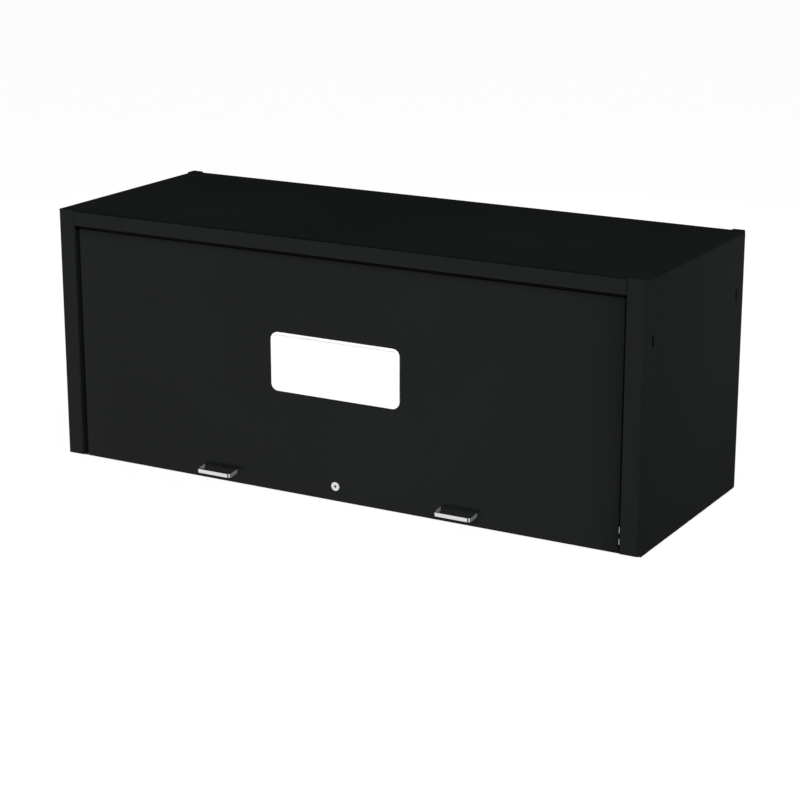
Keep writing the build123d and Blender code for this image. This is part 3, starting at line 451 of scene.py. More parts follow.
# %% Make both handles
def pull_handle(name, node):
    """A bent bar with the width and reach of the node's box, cut off at the door's skin."""
    low, high, middle = span(node)
    half = (high.x - low.x) / 2 - HANDLE_STRAP / 2
    bend = HANDLE_CORNER - HANDLE_STRAP / 2
    back = 3 * HANDLE_STRAP
    drop = (HANDLE_TALL / 2 - HANDLE_BEVEL) * math.sin(HANDLE_DROOP)
    front = -(door_front - low.y - drop) / math.cos(HANDLE_DROOP) + HANDLE_STRAP / 2
    bm = bmesh.new()
    end = rounded_section(bm, HANDLE_STRAP, HANDLE_TALL, HANDLE_BEVEL)
    bmesh.ops.translate(bm, vec=(-half, back, 0), verts=bm.verts)
    end = grow(bm, end, (0, front + bend - back, 0))
    end = turn(bm, end, (-half + bend, front + bend, 0), math.pi / 2)
    end = grow(bm, end, (2 * (half - bend), 0, 0))
    end = turn(bm, end, (half - bend, front + bend, 0), math.pi / 2)
    end = grow(bm, end, (0, back - front - bend, 0))
    bmesh.ops.rotate(bm, verts=bm.verts, cent=(0, 0, 0), matrix=Matrix.Rotation(HANDLE_DROOP, 3, "X"))
    bmesh.ops.translate(bm, vec=(middle.x, door_front, HANDLE_LEVEL), verts=bm.verts)
    everything = bm.verts[:] + bm.edges[:] + bm.faces[:]
    cut = bmesh.ops.bisect_plane(
        bm, geom=everything, plane_co=(0, door_front, 0), plane_no=(0, 1, 0), clear_outer=True
    )
    rims = [part for part in cut["geom_cut"] if isinstance(part, bmesh.types.BMEdge)]
    bmesh.ops.edgeloop_fill(bm, edges=rims)
    finish_piece(name, bm, "door", "polished_chrome", replaces=[node])


for side in ("left", "right"):
    pull_handle(f"pull_handle_{side}", f"{side}_handle")

# %% [markdown]
# ## Handle nuts, lock nut and their threads
#
# The handles' studs come through the skin and carry a nut each, and one big thin nut clamps the lock. A nut
# is a six-sided prism whose corners are turned off at an angle. The plain way to get that chamfer is to lathe
# a fat disc with sloping shoulders and cut six flats off it with bisecting planes.

# %% Nuts
NUT_EASE = 0.3 * MM
NUT_FACE = 0.96
NUT_SHOULDER = 0.55
STUD_RADIUS = 1.9 * MM
BACKWARD = Vector((0, 1, 0))


def hex_nut(bm, origin, axis, across, thickness, bore):
    """A nut with turned shoulders, from origin along axis."""
    part = bmesh.new()
    corner = across / math.sqrt(3)
    shoulder = (corner - across / 2) * NUT_SHOULDER
    outline = [
        (0, bore + NUT_EASE), (0, across / 2 * NUT_FACE), (shoulder, corner), (thickness - shoulder, corner),
        (thickness, across / 2 * NUT_FACE), (thickness, bore + NUT_EASE), (thickness - NUT_EASE, bore),
        (NUT_EASE, bore), (0, bore + NUT_EASE),
    ]
    lathe(part, outline, (0, 0, 0), (0, 0, 1), steps=48)
    bmesh.ops.remove_doubles(part, verts=part.verts, dist=MERGE)
    for side in range(6):
        outward = Matrix.Rotation(math.radians(60 * side), 3, "Z") @ Vector((1, 0, 0))
        cut = bmesh.ops.bisect_plane(
            part, geom=part.verts[:] + part.edges[:] + part.faces[:],
            plane_co=outward * across / 2, plane_no=outward, clear_outer=True,
        )
        rims = [found for found in cut["geom_cut"] if isinstance(found, bmesh.types.BMEdge)]
        bmesh.ops.contextual_create(part, geom=rims)
    place_copy(bm, part, origin, axis)


def place_copy(bm, part, origin, axis):
    """Stands a part made along +Z at origin, pointing along axis, and adds it to bm."""
    upright = Vector((0, 0, 1)).rotation_difference(Vector(axis)).to_matrix().to_4x4()
    bmesh.ops.transform(part, matrix=Matrix.Translation(origin) @ upright, verts=part.verts)
    scratch = bpy.data.meshes.new("scratch")
    part.to_mesh(scratch)
    part.free()
    bm.from_mesh(scratch)
    bpy.data.meshes.remove(scratch)


nut_low, nut_high, _ = span("handle_nuts")
stud_places = []
for side in ("left", "right"):
    low, high, _ = span(f"{side}_handle")
    stud_places += [low.x + HANDLE_STRAP / 2, high.x - HANDLE_STRAP / 2]
bm = bmesh.new()
for x in stud_places:
    at = Vector((x, nut_low.y, HANDLE_LEVEL))
    hex_nut(bm, at, BACKWARD, nut_high.z - nut_low.z, nut_high.y - nut_low.y, STUD_RADIUS)
finish_piece("handle_hex_nuts", bm, "door", "zinc_steel", replaces=["handle_nuts"])

# %% Stud ends behind the nuts
THREAD_PITCH = 0.7 * MM
THREAD_DEPTH = 0.25 * MM
STUD_LENGTH = 9.5 * MM
STUD_START = 2 * MM


def threaded(start, length, radius):
    """The outline of a threaded rod, as rings of crest and root."""
    turns = int(length / THREAD_PITCH)
    outline = [(start, 0), (start, radius - THREAD_DEPTH)]
    for turn_number in range(turns):
        at = start + turn_number * THREAD_PITCH
        outline += [(at + THREAD_PITCH * 0.5, radius), (at + THREAD_PITCH, radius - THREAD_DEPTH)]
    return outline + [(start + turns * THREAD_PITCH, 0)]


bm = bmesh.new()
for x in stud_places:
    stud_foot = (x, door_front - STUD_START, HANDLE_LEVEL)
    lathe(bm, threaded(0, STUD_LENGTH, STUD_RADIUS), stud_foot, BACKWARD, steps=20)
finish_piece("handle_stud_threads", bm, "door", "zinc_steel")

# %% The lock's nut
LOCK_BORE = 9.6 * MM
low, high, _ = span("lock_nut")
bm = bmesh.new()
hex_nut(bm, Vector((lock_axis.x, low.y, lock_axis.z)), BACKWARD, high.z - low.z, high.y - low.y, LOCK_BORE)
finish_piece("lock_hex_nut", bm, "door", "zinc_steel", replaces=["lock_nut"])

# %% [markdown]
# ## Cutting one shape out of another
#
# A slot or a recess is easiest as a cut. A boolean modifier takes the tool's mesh out of the part's, the
# result is read back as plain mesh, and both helpers are thrown away, so nothing live is left on the piece.

# %% Blocks and cuts
def bar(bm, size, at=(0, 0, 0)):
    """A block of that size, centred at a point."""
    made = bmesh.ops.create_cube(bm, size=1)
    bmesh.ops.scale(bm, vec=size, verts=made["verts"])
    bmesh.ops.translate(bm, vec=at, verts=made["verts"])


def carve(part, tool):
    """Takes the tool's shape out of the part and returns what is left as a new bmesh."""
    made = []
    for label, source in (("part", part), ("tool", tool)):
        bmesh.ops.remove_doubles(source, verts=source.verts, dist=MERGE)
        bmesh.ops.recalc_face_normals(source, faces=source.faces)
        mesh = bpy.data.meshes.new(label)
        source.to_mesh(mesh)
        source.free()
        made.append(bpy.data.objects.new(label, mesh))
        bpy.context.scene.collection.objects.link(made[-1])
    cut = made[0].modifiers.new("cut", "BOOLEAN")
    cut.operation = "DIFFERENCE"
    cut.solver = "EXACT"
    cut.object = made[1]
    bpy.context.view_layer.update()
    result = bmesh.new()
    result.from_object(made[0], bpy.context.evaluated_depsgraph_get())
    for thing in made:
        mesh = thing.data
        bpy.data.objects.remove(thing)
        bpy.data.meshes.remove(mesh)
    return result


# %% [markdown]
# ## The lock's face
#
# Seen from the front the lock is one bright disc with a small dark dot. Three things make it read as
# a lock: a thin black gasket that shows as a dark line round the flange, the joint between the flange and the
# plug, which the frame has already, and the round black guide with a slot that leads the key in.

# %% Gasket
GASKET_PROUD = 0.7 * MM
GASKET_THICK = 0.5 * MM
GASKET_EASE = 0.2 * MM
face_low, face_high, _ = span("lock_barrel")
face_radius = (face_high.z - face_low.z) / 2
bm = bmesh.new()
gasket_outer = face_radius + GASKET_PROUD
ring = [
    (0, face_radius - 1 * MM), (0, gasket_outer - GASKET_EASE), (-GASKET_EASE, gasket_outer),
    (-GASKET_THICK, gasket_outer - GASKET_EASE), (-GASKET_THICK, face_radius - 0.1 * MM),
]
lathe(bm, ring, (lock_axis.x, door_front, lock_axis.z), BACKWARD, steps=64)
finish_piece("lock_gasket", bm, "door", "rubber_black")

# %% Keyway guide with its shutter
KEYWAY_GUIDE = 2.9 * MM
GUIDE_PROUD = 0.15 * MM
KEY_SLOT = (1.0 * MM, 4 * MM, 4.4 * MM)
SLOT_DEEP = 0.8 * MM
part = bmesh.new()
outline = [
    (1.2 * MM, 0), (1.2 * MM, 1.1 * MM), (0.02 * MM, 1.1 * MM), (0.02 * MM, KEYWAY_GUIDE),
    (-GUIDE_PROUD * 0.6, KEYWAY_GUIDE), (-GUIDE_PROUD, KEYWAY_GUIDE - 0.2 * MM), (-GUIDE_PROUD, 0),
]
lathe(part, outline, (0, 0, 0), BACKWARD, steps=32)
tool = bmesh.new()
bar(tool, KEY_SLOT, (0, SLOT_DEEP - KEY_SLOT[1] / 2, 0))
bm = carve(part, tool)
bmesh.ops.translate(bm, vec=(lock_axis.x, lock_low.y, lock_axis.z), verts=bm.verts)
finish_piece("keyway_shutter", bm, "lock", "black_nylon")

# %% [markdown]
# ## The rods' guide plates
#
# A thin plate on each edge of the door guides the end of a lock rod. The right one's two arms show as bright
# marks in the gap by the post. Their front edges are hemmed: the sheet is folded back on itself, which makes
# the edge wider and safe to touch. A copy of the frame's plate is merged and freed of its flat triangles. One
# cut marks the hem off, the strip in front of it is grown outwards, and the fold's edge is rounded. The right
# plate is bare zinc. The left one takes the hinges' black as a painted shade, so the gap beside it stays dark
# from top to foot.

# %% Guide plates
HEM_DEEP = 2.6 * MM
HEM_FOLD = 0.8 * MM
HEM_ROUND = 0.45 * MM
NEAR = 0.01 * MM
# The left plate's black is a painted shade that keeps the gap beside it dark.
for side, plate_finish in (("left", "hinge_black"), ("right", "zinc_steel")):
    node = f"{side}_rod_guide_plate"
    low, high, _ = span(node)
    outer_x, outward = (low.x, -HEM_FOLD) if side == "left" else (high.x, HEM_FOLD)
    hem_end = low.y + HEM_DEEP
    bm = bmesh.new()
    bm.from_mesh(nodes[node].data)
    bmesh.ops.remove_doubles(bm, verts=bm.verts, dist=MERGE)
    bmesh.ops.dissolve_limit(bm, angle_limit=math.radians(1), verts=bm.verts, edges=bm.edges)
    bmesh.ops.bisect_plane(
        bm, geom=bm.verts[:] + bm.edges[:] + bm.faces[:], plane_co=(0, hem_end, 0), plane_no=(0, 1, 0)
    )
    strips = [
        face for face in bm.faces
        if all(abs(vert.co.x - outer_x) < NEAR and vert.co.y < hem_end + NEAR for vert in face.verts)
    ]
    grow(bm, strips, (outward, 0, 0))
    fold_edges = [
        edge for edge in bm.edges
        if all(
            abs(vert.co.x - outer_x - outward) < NEAR and abs(vert.co.y - low.y) < NEAR for vert in edge.verts
        )
    ]
    bmesh.ops.bevel(
        bm, geom=fold_edges, offset=HEM_ROUND, segments=3, profile=0.5, affect="EDGES", material=-1
    )
    print(side, "hem strips:", len(strips), "folds:", len(fold_edges))
    finish_piece(f"guide_plate_{side}", bm, "door", plate_finish, replaces=[node])

# %% [markdown]
# ## Rivets
#
# Two rows of rivets hold the hinge's leaves. Each is a shank with a domed head at both ends. They are small
# and many, so the dome has few rings: it is the highlight that says rivet, not the face count.

# %% Hinge rivets
RIVET_HEAD = 3.0 * MM
RIVET_SHANK = 1.6 * MM
RIVET_CROWN = 1.0 * MM
RIVET_COUNT = 12


def rivet_row(name, node, body):
    """Domed rivets at the places of a node's plain ones."""
    low, high, middle = span(node)
    pitch = (high.x - low.x - 2 * RIVET_HEAD) / (RIVET_COUNT - 1)
    foot = low.z + RIVET_CROWN
    head = high.z - RIVET_CROWN
    outline = list(reversed(dome(0, RIVET_HEAD, RIVET_CROWN, away=-1, rings=4)))
    outline += [(0, RIVET_SHANK), (head - foot, RIVET_SHANK)]
    outline += dome(head - foot, RIVET_HEAD, RIVET_CROWN, rings=4)
    bm = bmesh.new()
    for number in range(RIVET_COUNT):
        lathe(bm, outline, (low.x + RIVET_HEAD + number * pitch, middle.y, foot), (0, 0, 1), steps=14)
    finish_piece(name, bm, body, "hinge_black", replaces=[node])


rivet_row("case_leaf_rivets", "hinge_case_rivets", "case")
rivet_row("door_leaf_rivets", "hinge_door_rivets", "door")

# %% [markdown]
# ## Screws
#
# The strike plates are held by pan-head screws with a cross recess, and the cam by one with a slot. The head
# is lathed, and then the recess is cut with one bar, or with two that cross. The head's rim, its crown and
# the recess are shares of its height and radius.

# %% Screw helpers
RIM_SHARE, CROWN_SHARE = 0.45, 0.55
RECESS_WIDE, RECESS_DEEP = 0.26, 1.1
CROSS_LONG, SLOT_LONG = 1.15, 2.2
SCREW_POINT = 0.6 * MM


def pan_screw(bm, origin, axis, head_radius, head_height, shank_radius, shank_length, cross=True):
    """A screw whose head stands along axis from origin, and whose shank runs the other way."""
    part = bmesh.new()
    outline = [
        (-shank_length, 0), (-shank_length, shank_radius * 0.7),
        (-shank_length + SCREW_POINT, shank_radius),
        (0, shank_radius), (0, head_radius), (head_height * RIM_SHARE, head_radius),
    ]
    outline += dome(head_height * RIM_SHARE, head_radius, head_height * CROWN_SHARE, rings=5)[1:]
    lathe(part, outline, (0, 0, 0), (0, 0, 1), steps=28)
    tool = bmesh.new()
    slot_width = head_radius * RECESS_WIDE
    deep = head_height * RECESS_DEEP
    bar(tool, (head_radius * (CROSS_LONG if cross else SLOT_LONG), slot_width, deep), (0, 0, head_height))
    if cross:
        second = bmesh.new()
        bar(second, (slot_width, head_radius * CROSS_LONG, deep), (0, 0, head_height))
        part = carve(part, second)
    place_copy(bm, carve(part, tool), origin, axis)


# %% Strike screws and the cam's screw
STRIKE_REACH = 18 * MM
STRIKE_SCREW = {
    "head_radius": 3.6 * MM, "head_height": 1.6 * MM, "shank_radius": 2.0 * MM, "shank_length": 8.0 * MM
}
CAM_SCREW = {
    "head_radius": 4.0 * MM, "head_height": 2.2 * MM, "shank_radius": 2.0 * MM, "shank_length": 7.5 * MM
}
bm = bmesh.new()
for side, sign in (("left", -1), ("right", 1)):
    plate_low, plate_high, plate_middle = span(f"{side}_strike_plate")
    seat_x = plate_low.x if sign > 0 else plate_high.x
    for step in (-1, 1):
        seat = Vector((seat_x, plate_middle.y, plate_middle.z + step * STRIKE_REACH))
        pan_screw(bm, seat, (-sign, 0, 0), **STRIKE_SCREW)
finish_piece("strike_cross_screws", bm, "case", "hinge_black", replaces=["strike_screws"])

_, high, _ = span("lock_cam_screw")
bm = bmesh.new()
seat = Vector((lock_axis.x, high.y - CAM_SCREW["head_height"], lock_axis.z))
pan_screw(bm, seat, BACKWARD, **CAM_SCREW, cross=False)
finish_piece("cam_slotted_screw", bm, "lock", "zinc_steel", replaces=["lock_cam_screw"])

# %% [markdown]
# ## The gas struts
#
# A strut's tube isn't a plain pipe: it is rolled in over its seal at one end, closed round a thin neck at the
# other, and has a shallow groove where an inner stop is crimped. All of that is in the lathed outline.
# The flat eye at the case end is a disc with a hole, turned about the pivot's own axis.

# %% Strut tubes
TUBE_RADIUS = 9.0 * MM
TUBE_BORE = 7.9 * MM
TUBE_START = 14.0 * MM
TUBE_END = 160.0 * MM
TUBE_FLOOR = 3 * MM
SEAL_DEEP = 12 * MM
GROOVE_BACK = 26 * MM
GROOVE_DEEP = 0.35 * MM
NECK_RADIUS = 3.8 * MM
EYE_RADIUS = 8.0 * MM
EYE_HALF = 4.0 * MM
EYE_BORE = 4.05 * MM


def ring_eye(bm, centre, outer, bore, half):
    """A flat eye about an axis along X, with eased rims."""
    ease = 0.5 * MM
    outline = [
        (-half, bore), (-half, outer - ease), (-half + ease, outer), (half - ease, outer),
        (half, outer - ease), (half, bore), (-half, bore),
    ]
    lathe(bm, outline, centre, (1, 0, 0), steps=40)


def strut_tube(side):
    """The hollow tube and the eye of one strut, along its slide from its pivot on the case."""
    swing = joint_of[f"{side}_strut_swing"]
    along = Vector(joint_of[f"{side}_strut_slide"]["axis"])
    pivot = Vector(swing["pos_m"])
    groove = TUBE_END - GROOVE_BACK
    outline = [
        (TUBE_START + TUBE_FLOOR, 0), (TUBE_START + TUBE_FLOOR, TUBE_BORE - 1 * MM),
        (TUBE_START + 4 * MM, TUBE_BORE),
        (TUBE_END - SEAL_DEEP, TUBE_BORE), (TUBE_END - SEAL_DEEP, TUBE_BORE + 0.6 * MM),
        (TUBE_END - 1.2 * MM, TUBE_BORE + 0.1 * MM), (TUBE_END, TUBE_RADIUS - 1.1 * MM),
        (TUBE_END, TUBE_RADIUS - 0.9 * MM), (TUBE_END - 1.2 * MM, TUBE_RADIUS - 0.1 * MM),
        (TUBE_END - 2.5 * MM, TUBE_RADIUS), (groove + 1.5 * MM, TUBE_RADIUS),
        (groove + 0.6 * MM, TUBE_RADIUS - GROOVE_DEEP), (groove - 0.6 * MM, TUBE_RADIUS - GROOVE_DEEP),
        (groove - 1.5 * MM, TUBE_RADIUS), (TUBE_START + TUBE_FLOOR, TUBE_RADIUS),
        (TUBE_START + 0.9 * MM, TUBE_RADIUS - 0.7 * MM), (TUBE_START, TUBE_RADIUS - 2.6 * MM),
        (TUBE_START, NECK_RADIUS), (EYE_RADIUS - 1.5 * MM, NECK_RADIUS), (EYE_RADIUS - 1.5 * MM, 0),
    ]
    body, node = f"{side}_cylinder", f"{side}_strut_cylinder"
    bm = bmesh.new()
    lathe(bm, outline, pivot, along, steps=48)
    finish_piece(f"strut_tube_{side}", bm, body, "strut_tube_black", replaces=[node])
    bm = bmesh.new()
    ring_eye(bm, pivot, EYE_RADIUS, EYE_BORE, EYE_HALF)
    finish_piece(f"strut_eye_{side}", bm, body, "strut_tube_black")


for side in ("left", "right"):
    strut_tube(side)

# %% [markdown]
# ## Retaining clips
#
# A spring clip keeps each strut's eye on its stud. It is a washer with a mouth. The washer is lathed flat
# with eased rims, then a block cut out of its edge opens the mouth.

# %% Clips
CLIP_RADIUS = 7.0 * MM
CLIP_BORE = 4.02 * MM
CLIP_THICK = 1.2 * MM
CLIP_EASE = 0.2 * MM
CLIP_MOUTH = (5.4 * MM, 8 * MM, 4 * MM)
low, high, _ = span("strut_clips")
bm = bmesh.new()
for side, sign in (("left", -1), ("right", 1)):
    pivot = Vector(joint_of[f"{side}_strut_swing"]["pos_m"])
    inner_face = high.x if sign > 0 else low.x
    part = bmesh.new()
    outline = [
        (0, CLIP_BORE), (0, CLIP_RADIUS - CLIP_EASE), (CLIP_EASE, CLIP_RADIUS),
        (CLIP_THICK - CLIP_EASE, CLIP_RADIUS), (CLIP_THICK, CLIP_RADIUS - CLIP_EASE), (CLIP_THICK, CLIP_BORE),
        (0, CLIP_BORE),
    ]
    lathe(part, outline, (0, 0, 0), (0, 0, 1), steps=40)
    tool = bmesh.new()
    bar(tool, CLIP_MOUTH, (0, CLIP_RADIUS, CLIP_THICK / 2))
    part = carve(part, tool)
    place_copy(bm, part, Vector((inner_face, pivot.y, pivot.z)), (-sign, 0, 0))
finish_piece("strut_spring_clips", bm, "case", "zinc_steel", replaces=["strut_clips"])

# %% [markdown]
# ## Spot welds
#
# Sheet steel cabinets are joined by spot welds, and under paint each still shows as a shallow round dimple
# with a faint raised rim. They tell the eye how the thing was made. Here they are on the door's liner and on
# the channels under the roof. Each is a small lathed dish that lies on the sheet, and a loop lays out a row.

# %% Weld helpers
WELD_RADIUS = 3.0 * MM
WELD_RIM = 0.12 * MM


def weld_row(bm, start, end, count, outward):
    """Weld marks evenly from start to end, on a face whose normal is outward."""
    start, end = Vector(start), Vector(end)
    outline = [
        (0.02 * MM, 0), (0.02 * MM, WELD_RADIUS * 0.62), (WELD_RIM, WELD_RADIUS * 0.82),
        (WELD_RIM * 0.6, WELD_RADIUS * 0.94), (-0.02 * MM, WELD_RADIUS),
    ]
    for number in range(count):
        at = start.lerp(end, number / (count - 1))
        lathe(bm, outline, at, outward, steps=18)


# %% Welds on the door's liner
LINER_INSET = 6 * MM
CHANNEL_INSET = 40 * MM
UPRIGHT_WELDS, LEVEL_WELDS, CHANNEL_WELDS = 6, 15, 5
low, high, _ = span("door_liner")
bm = bmesh.new()
back_face = high.y
left_x, right_x = low.x + LINER_INSET, high.x - LINER_INSET
foot_z, head_z = low.z + LINER_INSET, high.z - LINER_INSET
for x in (left_x, right_x):
    weld_row(bm, (x, back_face, foot_z), (x, back_face, head_z), UPRIGHT_WELDS, BACKWARD)
weld_row(bm, (left_x, back_face, head_z), (right_x, back_face, head_z), LEVEL_WELDS, BACKWARD)
for channel in ("left", "center", "right"):
    _, _, middle = span(f"door_channel_{channel}")
    start, end = (middle.x, back_face, foot_z + CHANNEL_INSET), (middle.x, back_face, head_z - CHANNEL_INSET)
    weld_row(bm, start, end, CHANNEL_WELDS, BACKWARD)
finish_piece("liner_spot_welds", bm, "door", "black_powder_coat")

# %% Welds on the roof's channels
CHANNEL_SHEET = 1.5 * MM
FLANGE_MIDDLE = 8 * MM
ROOF_INSET = 20 * MM
ROOF_WELDS = 6
DOWN = Vector((0, 0, -1))
bm = bmesh.new()
for channel in ("left", "center", "right"):
    low, high, _ = span(f"roof_channel_{channel}")
    flange_face = high.z - CHANNEL_SHEET
    for x in (low.x + FLANGE_MIDDLE, high.x - FLANGE_MIDDLE):
        start, end = (x, low.y + ROOF_INSET, flange_face), (x, high.y - ROOF_INSET, flange_face)
        weld_row(bm, start, end, ROOF_WELDS, DOWN)
finish_piece("roof_spot_welds", bm, "case", "black_powder_coat")

# %% [markdown]
# ## The nameplate
#
# The door carries a plain raised plate: a rounded rectangle with a rim and a sunk field, and nothing on it.
# One grid face is scaled, its corners are bevelled round, and it is extruded and inset. The rims are then
# bevelled, because a sharp white edge would flicker and a soft one catches the light.

# %% Nameplate
PLATE_CORNER = 18 * MM
PLATE_RIM = 6 * MM
PLATE_FIELD = 1.0 * MM
PLATE_SLOPE = 0.8 * MM
PLATE_EDGE = 0.5 * MM
SHARP = math.radians(30)
low, high, middle = span("nameplate")
plate_wide, plate_tall, plate_thick = high.x - low.x, high.z - low.z, high.y - low.y
bm = bmesh.new()
bmesh.ops.create_grid(bm, x_segments=1, y_segments=1, size=0.5)
bmesh.ops.scale(bm, vec=(plate_wide, plate_tall, 1), verts=bm.verts)
bmesh.ops.rotate(bm, verts=bm.verts, cent=(0, 0, 0), matrix=Matrix.Rotation(math.pi / 2, 3, "X"))
bmesh.ops.bevel(
    bm, geom=bm.verts[:], offset=PLATE_CORNER, segments=12, profile=0.5, affect="VERTICES", material=-1
)
front = grow(bm, bm.faces[:], (0, -plate_thick, 0))
bmesh.ops.inset_region(bm, faces=front, thickness=PLATE_RIM, depth=0)
bmesh.ops.inset_region(bm, faces=front, thickness=PLATE_SLOPE, depth=-PLATE_FIELD)
sharp = [edge for edge in bm.edges if len(edge.link_faces) == 2 and edge.calc_face_angle() > SHARP]
bmesh.ops.bevel(bm, geom=sharp, offset=PLATE_EDGE, segments=3, profile=0.5, affect="EDGES", material=-1)
bmesh.ops.translate(bm, vec=(middle.x, high.y, middle.z), verts=bm.verts)
finish_piece("blank_nameplate", bm, "door", "nameplate_white", replaces=["nameplate"])

# %% [markdown]
# ## The camera
#
# The photograph was taken from the right of the door and a little above, with a long lens. The angles, the
# distance and the focal length were solved from the case's edges, so the picture lines up with it.

# %% Camera
FOCAL_PIXELS = 2224.19
FRAME_PIXELS = 800
SENSOR = 36.0
AZIMUTH = math.radians(29.5425)
ELEVATION = math.radians(16.2486)
CAMERA_PLACE = (2.5323, -4.4398, 1.6674)
FAR = 100
camera_data = bpy.data.cameras.new("camera")
camera_data.sensor_width = SENSOR
camera_data.lens = FOCAL_PIXELS / FRAME_PIXELS * SENSOR
camera_data.clip_end = FAR
camera = bpy.data.objects.new("camera", camera_data)
bpy.context.scene.collection.objects.link(camera)
camera.location = CAMERA_PLACE
looking = Vector((
    -math.sin(AZIMUTH) * math.cos(ELEVATION),
    math.cos(AZIMUTH) * math.cos(ELEVATION),
    -math.sin(ELEVATION),
))
camera.rotation_euler = looking.to_track_quat("-Z", "Y").to_euler()
bpy.context.scene.camera = camera
print("lens", round(camera_data.lens, 2), "mm on a sensor", SENSOR, "mm wide")

# %% [markdown]
# ## The studio
#
# The floor and the room are white to the camera, but they must not flood a black object with light. So the
# camera sees plain white, and the light that reaches the hutch comes from the lamps and from a grey world.
# The floor keeps a soft shadow, because a small share of what the camera sees of it is still its lit surface.
# Inside the footprint of the hutch, which has no bottom, the camera sees the lit floor alone, so the inside
# looks as dark as it is.
# Reflected rays pass through the floor to the room, so that bright metal mirrors the room's panels.

# %% Floor
FLOOR_HALF = 40
LIT_SHARE = 0.04
SEEN_UNDER_DOOR = 11 * MM
FLOOR_DROP = 0.5 * MM
PALE = (0.9, 0.9, 0.9, 1)
DIM = (0.12, 0.12, 0.12, 1)


def outside_footprint(tree, low, high):
    """One outside the rectangle between two corners, and zero inside it."""
    axes = place_axes(tree)
    beyond = []
    for axis, start, end in (("X", low.x, high.x), ("Y", low.y, high.y)):
        from_middle = math_node(tree, "SUBTRACT", axes[axis], (start + end) / 2)
        outwards = math_node(tree, "ABSOLUTE", from_middle)
        beyond.append(math_node(tree, "GREATER_THAN", outwards, (end - start) / 2))
    return math_node(tree, "MAXIMUM", *beyond)


def white_floor(material):
    """White to the camera but for its shadows, dim to light, and open to mirrors."""
    material.use_nodes = True
    tree = material.node_tree
    tree.nodes.clear()
    lit = add_node(tree, "ShaderNodeBsdfDiffuse", Color=PALE)
    dim = add_node(tree, "ShaderNodeBsdfDiffuse", Color=DIM)
    white = add_node(tree, "ShaderNodeEmission", Color=(1, 1, 1, 1), Strength=1.0)
    blend = tree.nodes.new("ShaderNodeMixShader")
    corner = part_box("left_side_panel")[0]
    corner.y = door_front + SEEN_UNDER_DOOR
    outside = outside_footprint(tree, corner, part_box("right_side_panel")[1])
    tree.links.new(math_node(tree, "MULTIPLY", outside, 1 - LIT_SHARE), blend.inputs["Fac"])
    clear = tree.nodes.new("ShaderNodeBsdfTransparent")
    path = tree.nodes.new("ShaderNodeLightPath")
    camera_mix = tree.nodes.new("ShaderNodeMixShader")
    mirror_mix = tree.nodes.new("ShaderNodeMixShader")
    output = tree.nodes.new("ShaderNodeOutputMaterial")
    tree.links.new(lit.outputs["BSDF"], blend.inputs[1])
    tree.links.new(white.outputs["Emission"], blend.inputs[2])
    tree.links.new(path.outputs["Is Camera Ray"], camera_mix.inputs["Fac"])
    tree.links.new(dim.outputs["BSDF"], camera_mix.inputs[1])
    tree.links.new(blend.outputs["Shader"], camera_mix.inputs[2])
    tree.links.new(path.outputs["Is Glossy Ray"], mirror_mix.inputs["Fac"])
    tree.links.new(camera_mix.outputs["Shader"], mirror_mix.inputs[1])
    tree.links.new(clear.outputs["BSDF"], mirror_mix.inputs[2])
    tree.links.new(mirror_mix.outputs["Shader"], output.inputs["Surface"])


bm = bmesh.new()
bmesh.ops.create_grid(bm, x_segments=1, y_segments=1, size=FLOOR_HALF)
floor_mesh = bpy.data.meshes.new("floor")
bm.to_mesh(floor_mesh)
bm.free()
floor = bpy.data.objects.new("floor", floor_mesh)
bpy.context.scene.collection.objects.link(floor)
floor.location.z = -FLOOR_DROP
floor_material = bpy.data.materials.new("studio_floor")
white_floor(floor_material)
floor_mesh.materials.append(floor_material)
print("floor", 2 * FLOOR_HALF, "metres wide")

# %% [markdown]
# ## The room that the metal mirrors
#
# A mirror shows its surroundings, so a chrome handle in an even room looks like plastic. A photographer sets
# white panels round it with dark gaps between them. The world does the same: each reflected ray's heading,
# counted in degrees from the front towards the right, picks a brightness from a ramp. The panels stand low,
# so rays that go upwards or steeply down see little, and a rounded edge shows as a dark line. One more panel
# stands straight in front, at the horizon and a little above, for views straight in with the door up.

# %% World
WORLD_LIGHT = 0.4
PANELS = [
    (-180, 0.05), (-68, 0.08), (-52, 1.0), (-24, 1.0), (-18, 0.05),
    (16, 0.03), (24, 0.8), (70, 0.8), (80, 0.06), (170, 0.06),
]
PANEL_TOP = (-0.18, -0.04)
PANEL_FOOT = (-0.53, -0.64)
BAND_FOOT = (-0.10, -0.04)
BAND_TOP = (0.30, 0.36)
BAND_ENDS = (12, 19)
BEYOND = 0.02
world = bpy.data.worlds.new("studio")
bpy.context.scene.world = world
world.use_nodes = True
tree = world.node_tree
tree.nodes.clear()
way = place_axes(tree)
turned = math_node(tree, "ARCTAN2", way["X"], math_node(tree, "MULTIPLY", way["Y"], -1.0))
ramp = tree.nodes.new("ShaderNodeValToRGB")
tree.links.new(math_node(tree, "MULTIPLY_ADD", turned, 0.5 / math.pi, 0.5), ramp.inputs["Fac"])
while len(ramp.color_ramp.elements) < len(PANELS):
    ramp.color_ramp.elements.new(0.5)
for element, (degrees_right, level) in zip(ramp.color_ramp.elements, PANELS):
    element.position = degrees_right / 360 + 0.5
    element.color = (level, level, level, 1)
low_panels = math_node(
    tree, "MULTIPLY", ramp.outputs["Color"],
    math_node(
        tree, "MINIMUM", spread(tree, way["Z"], 1.0, BEYOND, *PANEL_TOP),
        spread(tree, way["Z"], 1.0, BEYOND, *PANEL_FOOT),
    ),
)
from_front = math_node(tree, "ABSOLUTE", turned)
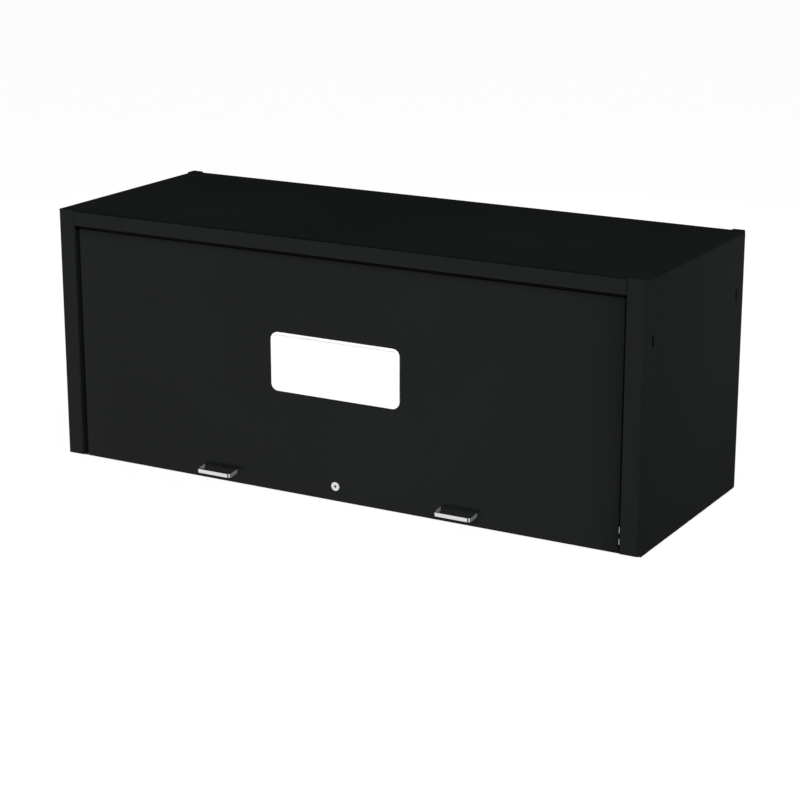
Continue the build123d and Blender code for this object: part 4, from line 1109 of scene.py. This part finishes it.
band = math_node(
    tree, "MULTIPLY", spread(tree, from_front, 1.0, 0.0, *(math.radians(end) for end in BAND_ENDS)),
    math_node(
        tree, "MINIMUM", spread(tree, way["Z"], 0.0, 1.0, *BAND_FOOT),
        spread(tree, way["Z"], 1.0, 0.0, *BAND_TOP),
    ),
)
plain = add_node(tree, "ShaderNodeBackground", Color=(1, 1, 1, 1), Strength=WORLD_LIGHT)
panels = tree.nodes.new("ShaderNodeBackground")
tree.links.new(math_node(tree, "MAXIMUM", low_panels, band), panels.inputs["Strength"])
white = add_node(tree, "ShaderNodeBackground", Color=(1, 1, 1, 1), Strength=1.0)
path = tree.nodes.new("ShaderNodeLightPath")
mirror_mix = tree.nodes.new("ShaderNodeMixShader")
camera_mix = tree.nodes.new("ShaderNodeMixShader")
output = tree.nodes.new("ShaderNodeOutputWorld")
tree.links.new(path.outputs["Is Glossy Ray"], mirror_mix.inputs["Fac"])
tree.links.new(plain.outputs["Background"], mirror_mix.inputs[1])
tree.links.new(panels.outputs["Background"], mirror_mix.inputs[2])
tree.links.new(path.outputs["Is Camera Ray"], camera_mix.inputs["Fac"])
tree.links.new(mirror_mix.outputs["Shader"], camera_mix.inputs[1])
tree.links.new(white.outputs["Background"], camera_mix.inputs[2])
tree.links.new(camera_mix.outputs["Shader"], output.inputs["Surface"])
print("panels in the ramp:", len(PANELS))

# %% [markdown]
# ## Lamps
#
# One big soft box, high on the front right, is the key. Four weaker ones fill in. A low one in front lights
# the door. One on the right has a narrow beam and aims over the rear top corner of the side panel, so
# the panel's light fades downwards. One behind and one on the left serve the other sides. No lamp shows in
# a reflection, because the room's panels are what the metal is meant to mirror.

# %% Lamps
MIDDLE = Vector((0, 0, 0.3))
OVER_SIDE_PANEL = Vector((0.76, 0.3, 0.8))


def soft_lamp(name, heading, elevation, distance, size, power, aim=None, beam=180):
    """A square soft box, seen from the hutch at that heading and elevation. The angles are in degrees."""
    turned, raised = math.radians(heading), math.radians(elevation)
    way = Vector((
        math.sin(turned) * math.cos(raised), -math.cos(turned) * math.cos(raised), math.sin(raised)
    ))
    data = bpy.data.lights.new(name, "AREA")
    data.shape = "SQUARE"
    data.size = size
    data.energy = power
    data.spread = math.radians(beam)
    lamp = bpy.data.objects.new(name, data)
    bpy.context.scene.collection.objects.link(lamp)
    lamp.location = MIDDLE + way * distance
    lamp.rotation_euler = ((aim or MIDDLE) - lamp.location).to_track_quat("-Z", "Y").to_euler()
    lamp.visible_glossy = False
    print(name, "at", [round(value, 2) for value in lamp.location], "power", power)


soft_lamp("key", 38, 43, 7, 5, 640)
soft_lamp("front_fill", -15, 8, 6, 2, 80)
soft_lamp("right_fill", 118, 2, 3.5, 1.0, 9, aim=OVER_SIDE_PANEL, beam=50)
soft_lamp("back_fill", 178, 4, 3.5, 1.5, 60)
soft_lamp("left_fill", -110, 16, 3.5, 1.5, 60)
bpy.context.scene.view_settings.view_transform = "Standard"
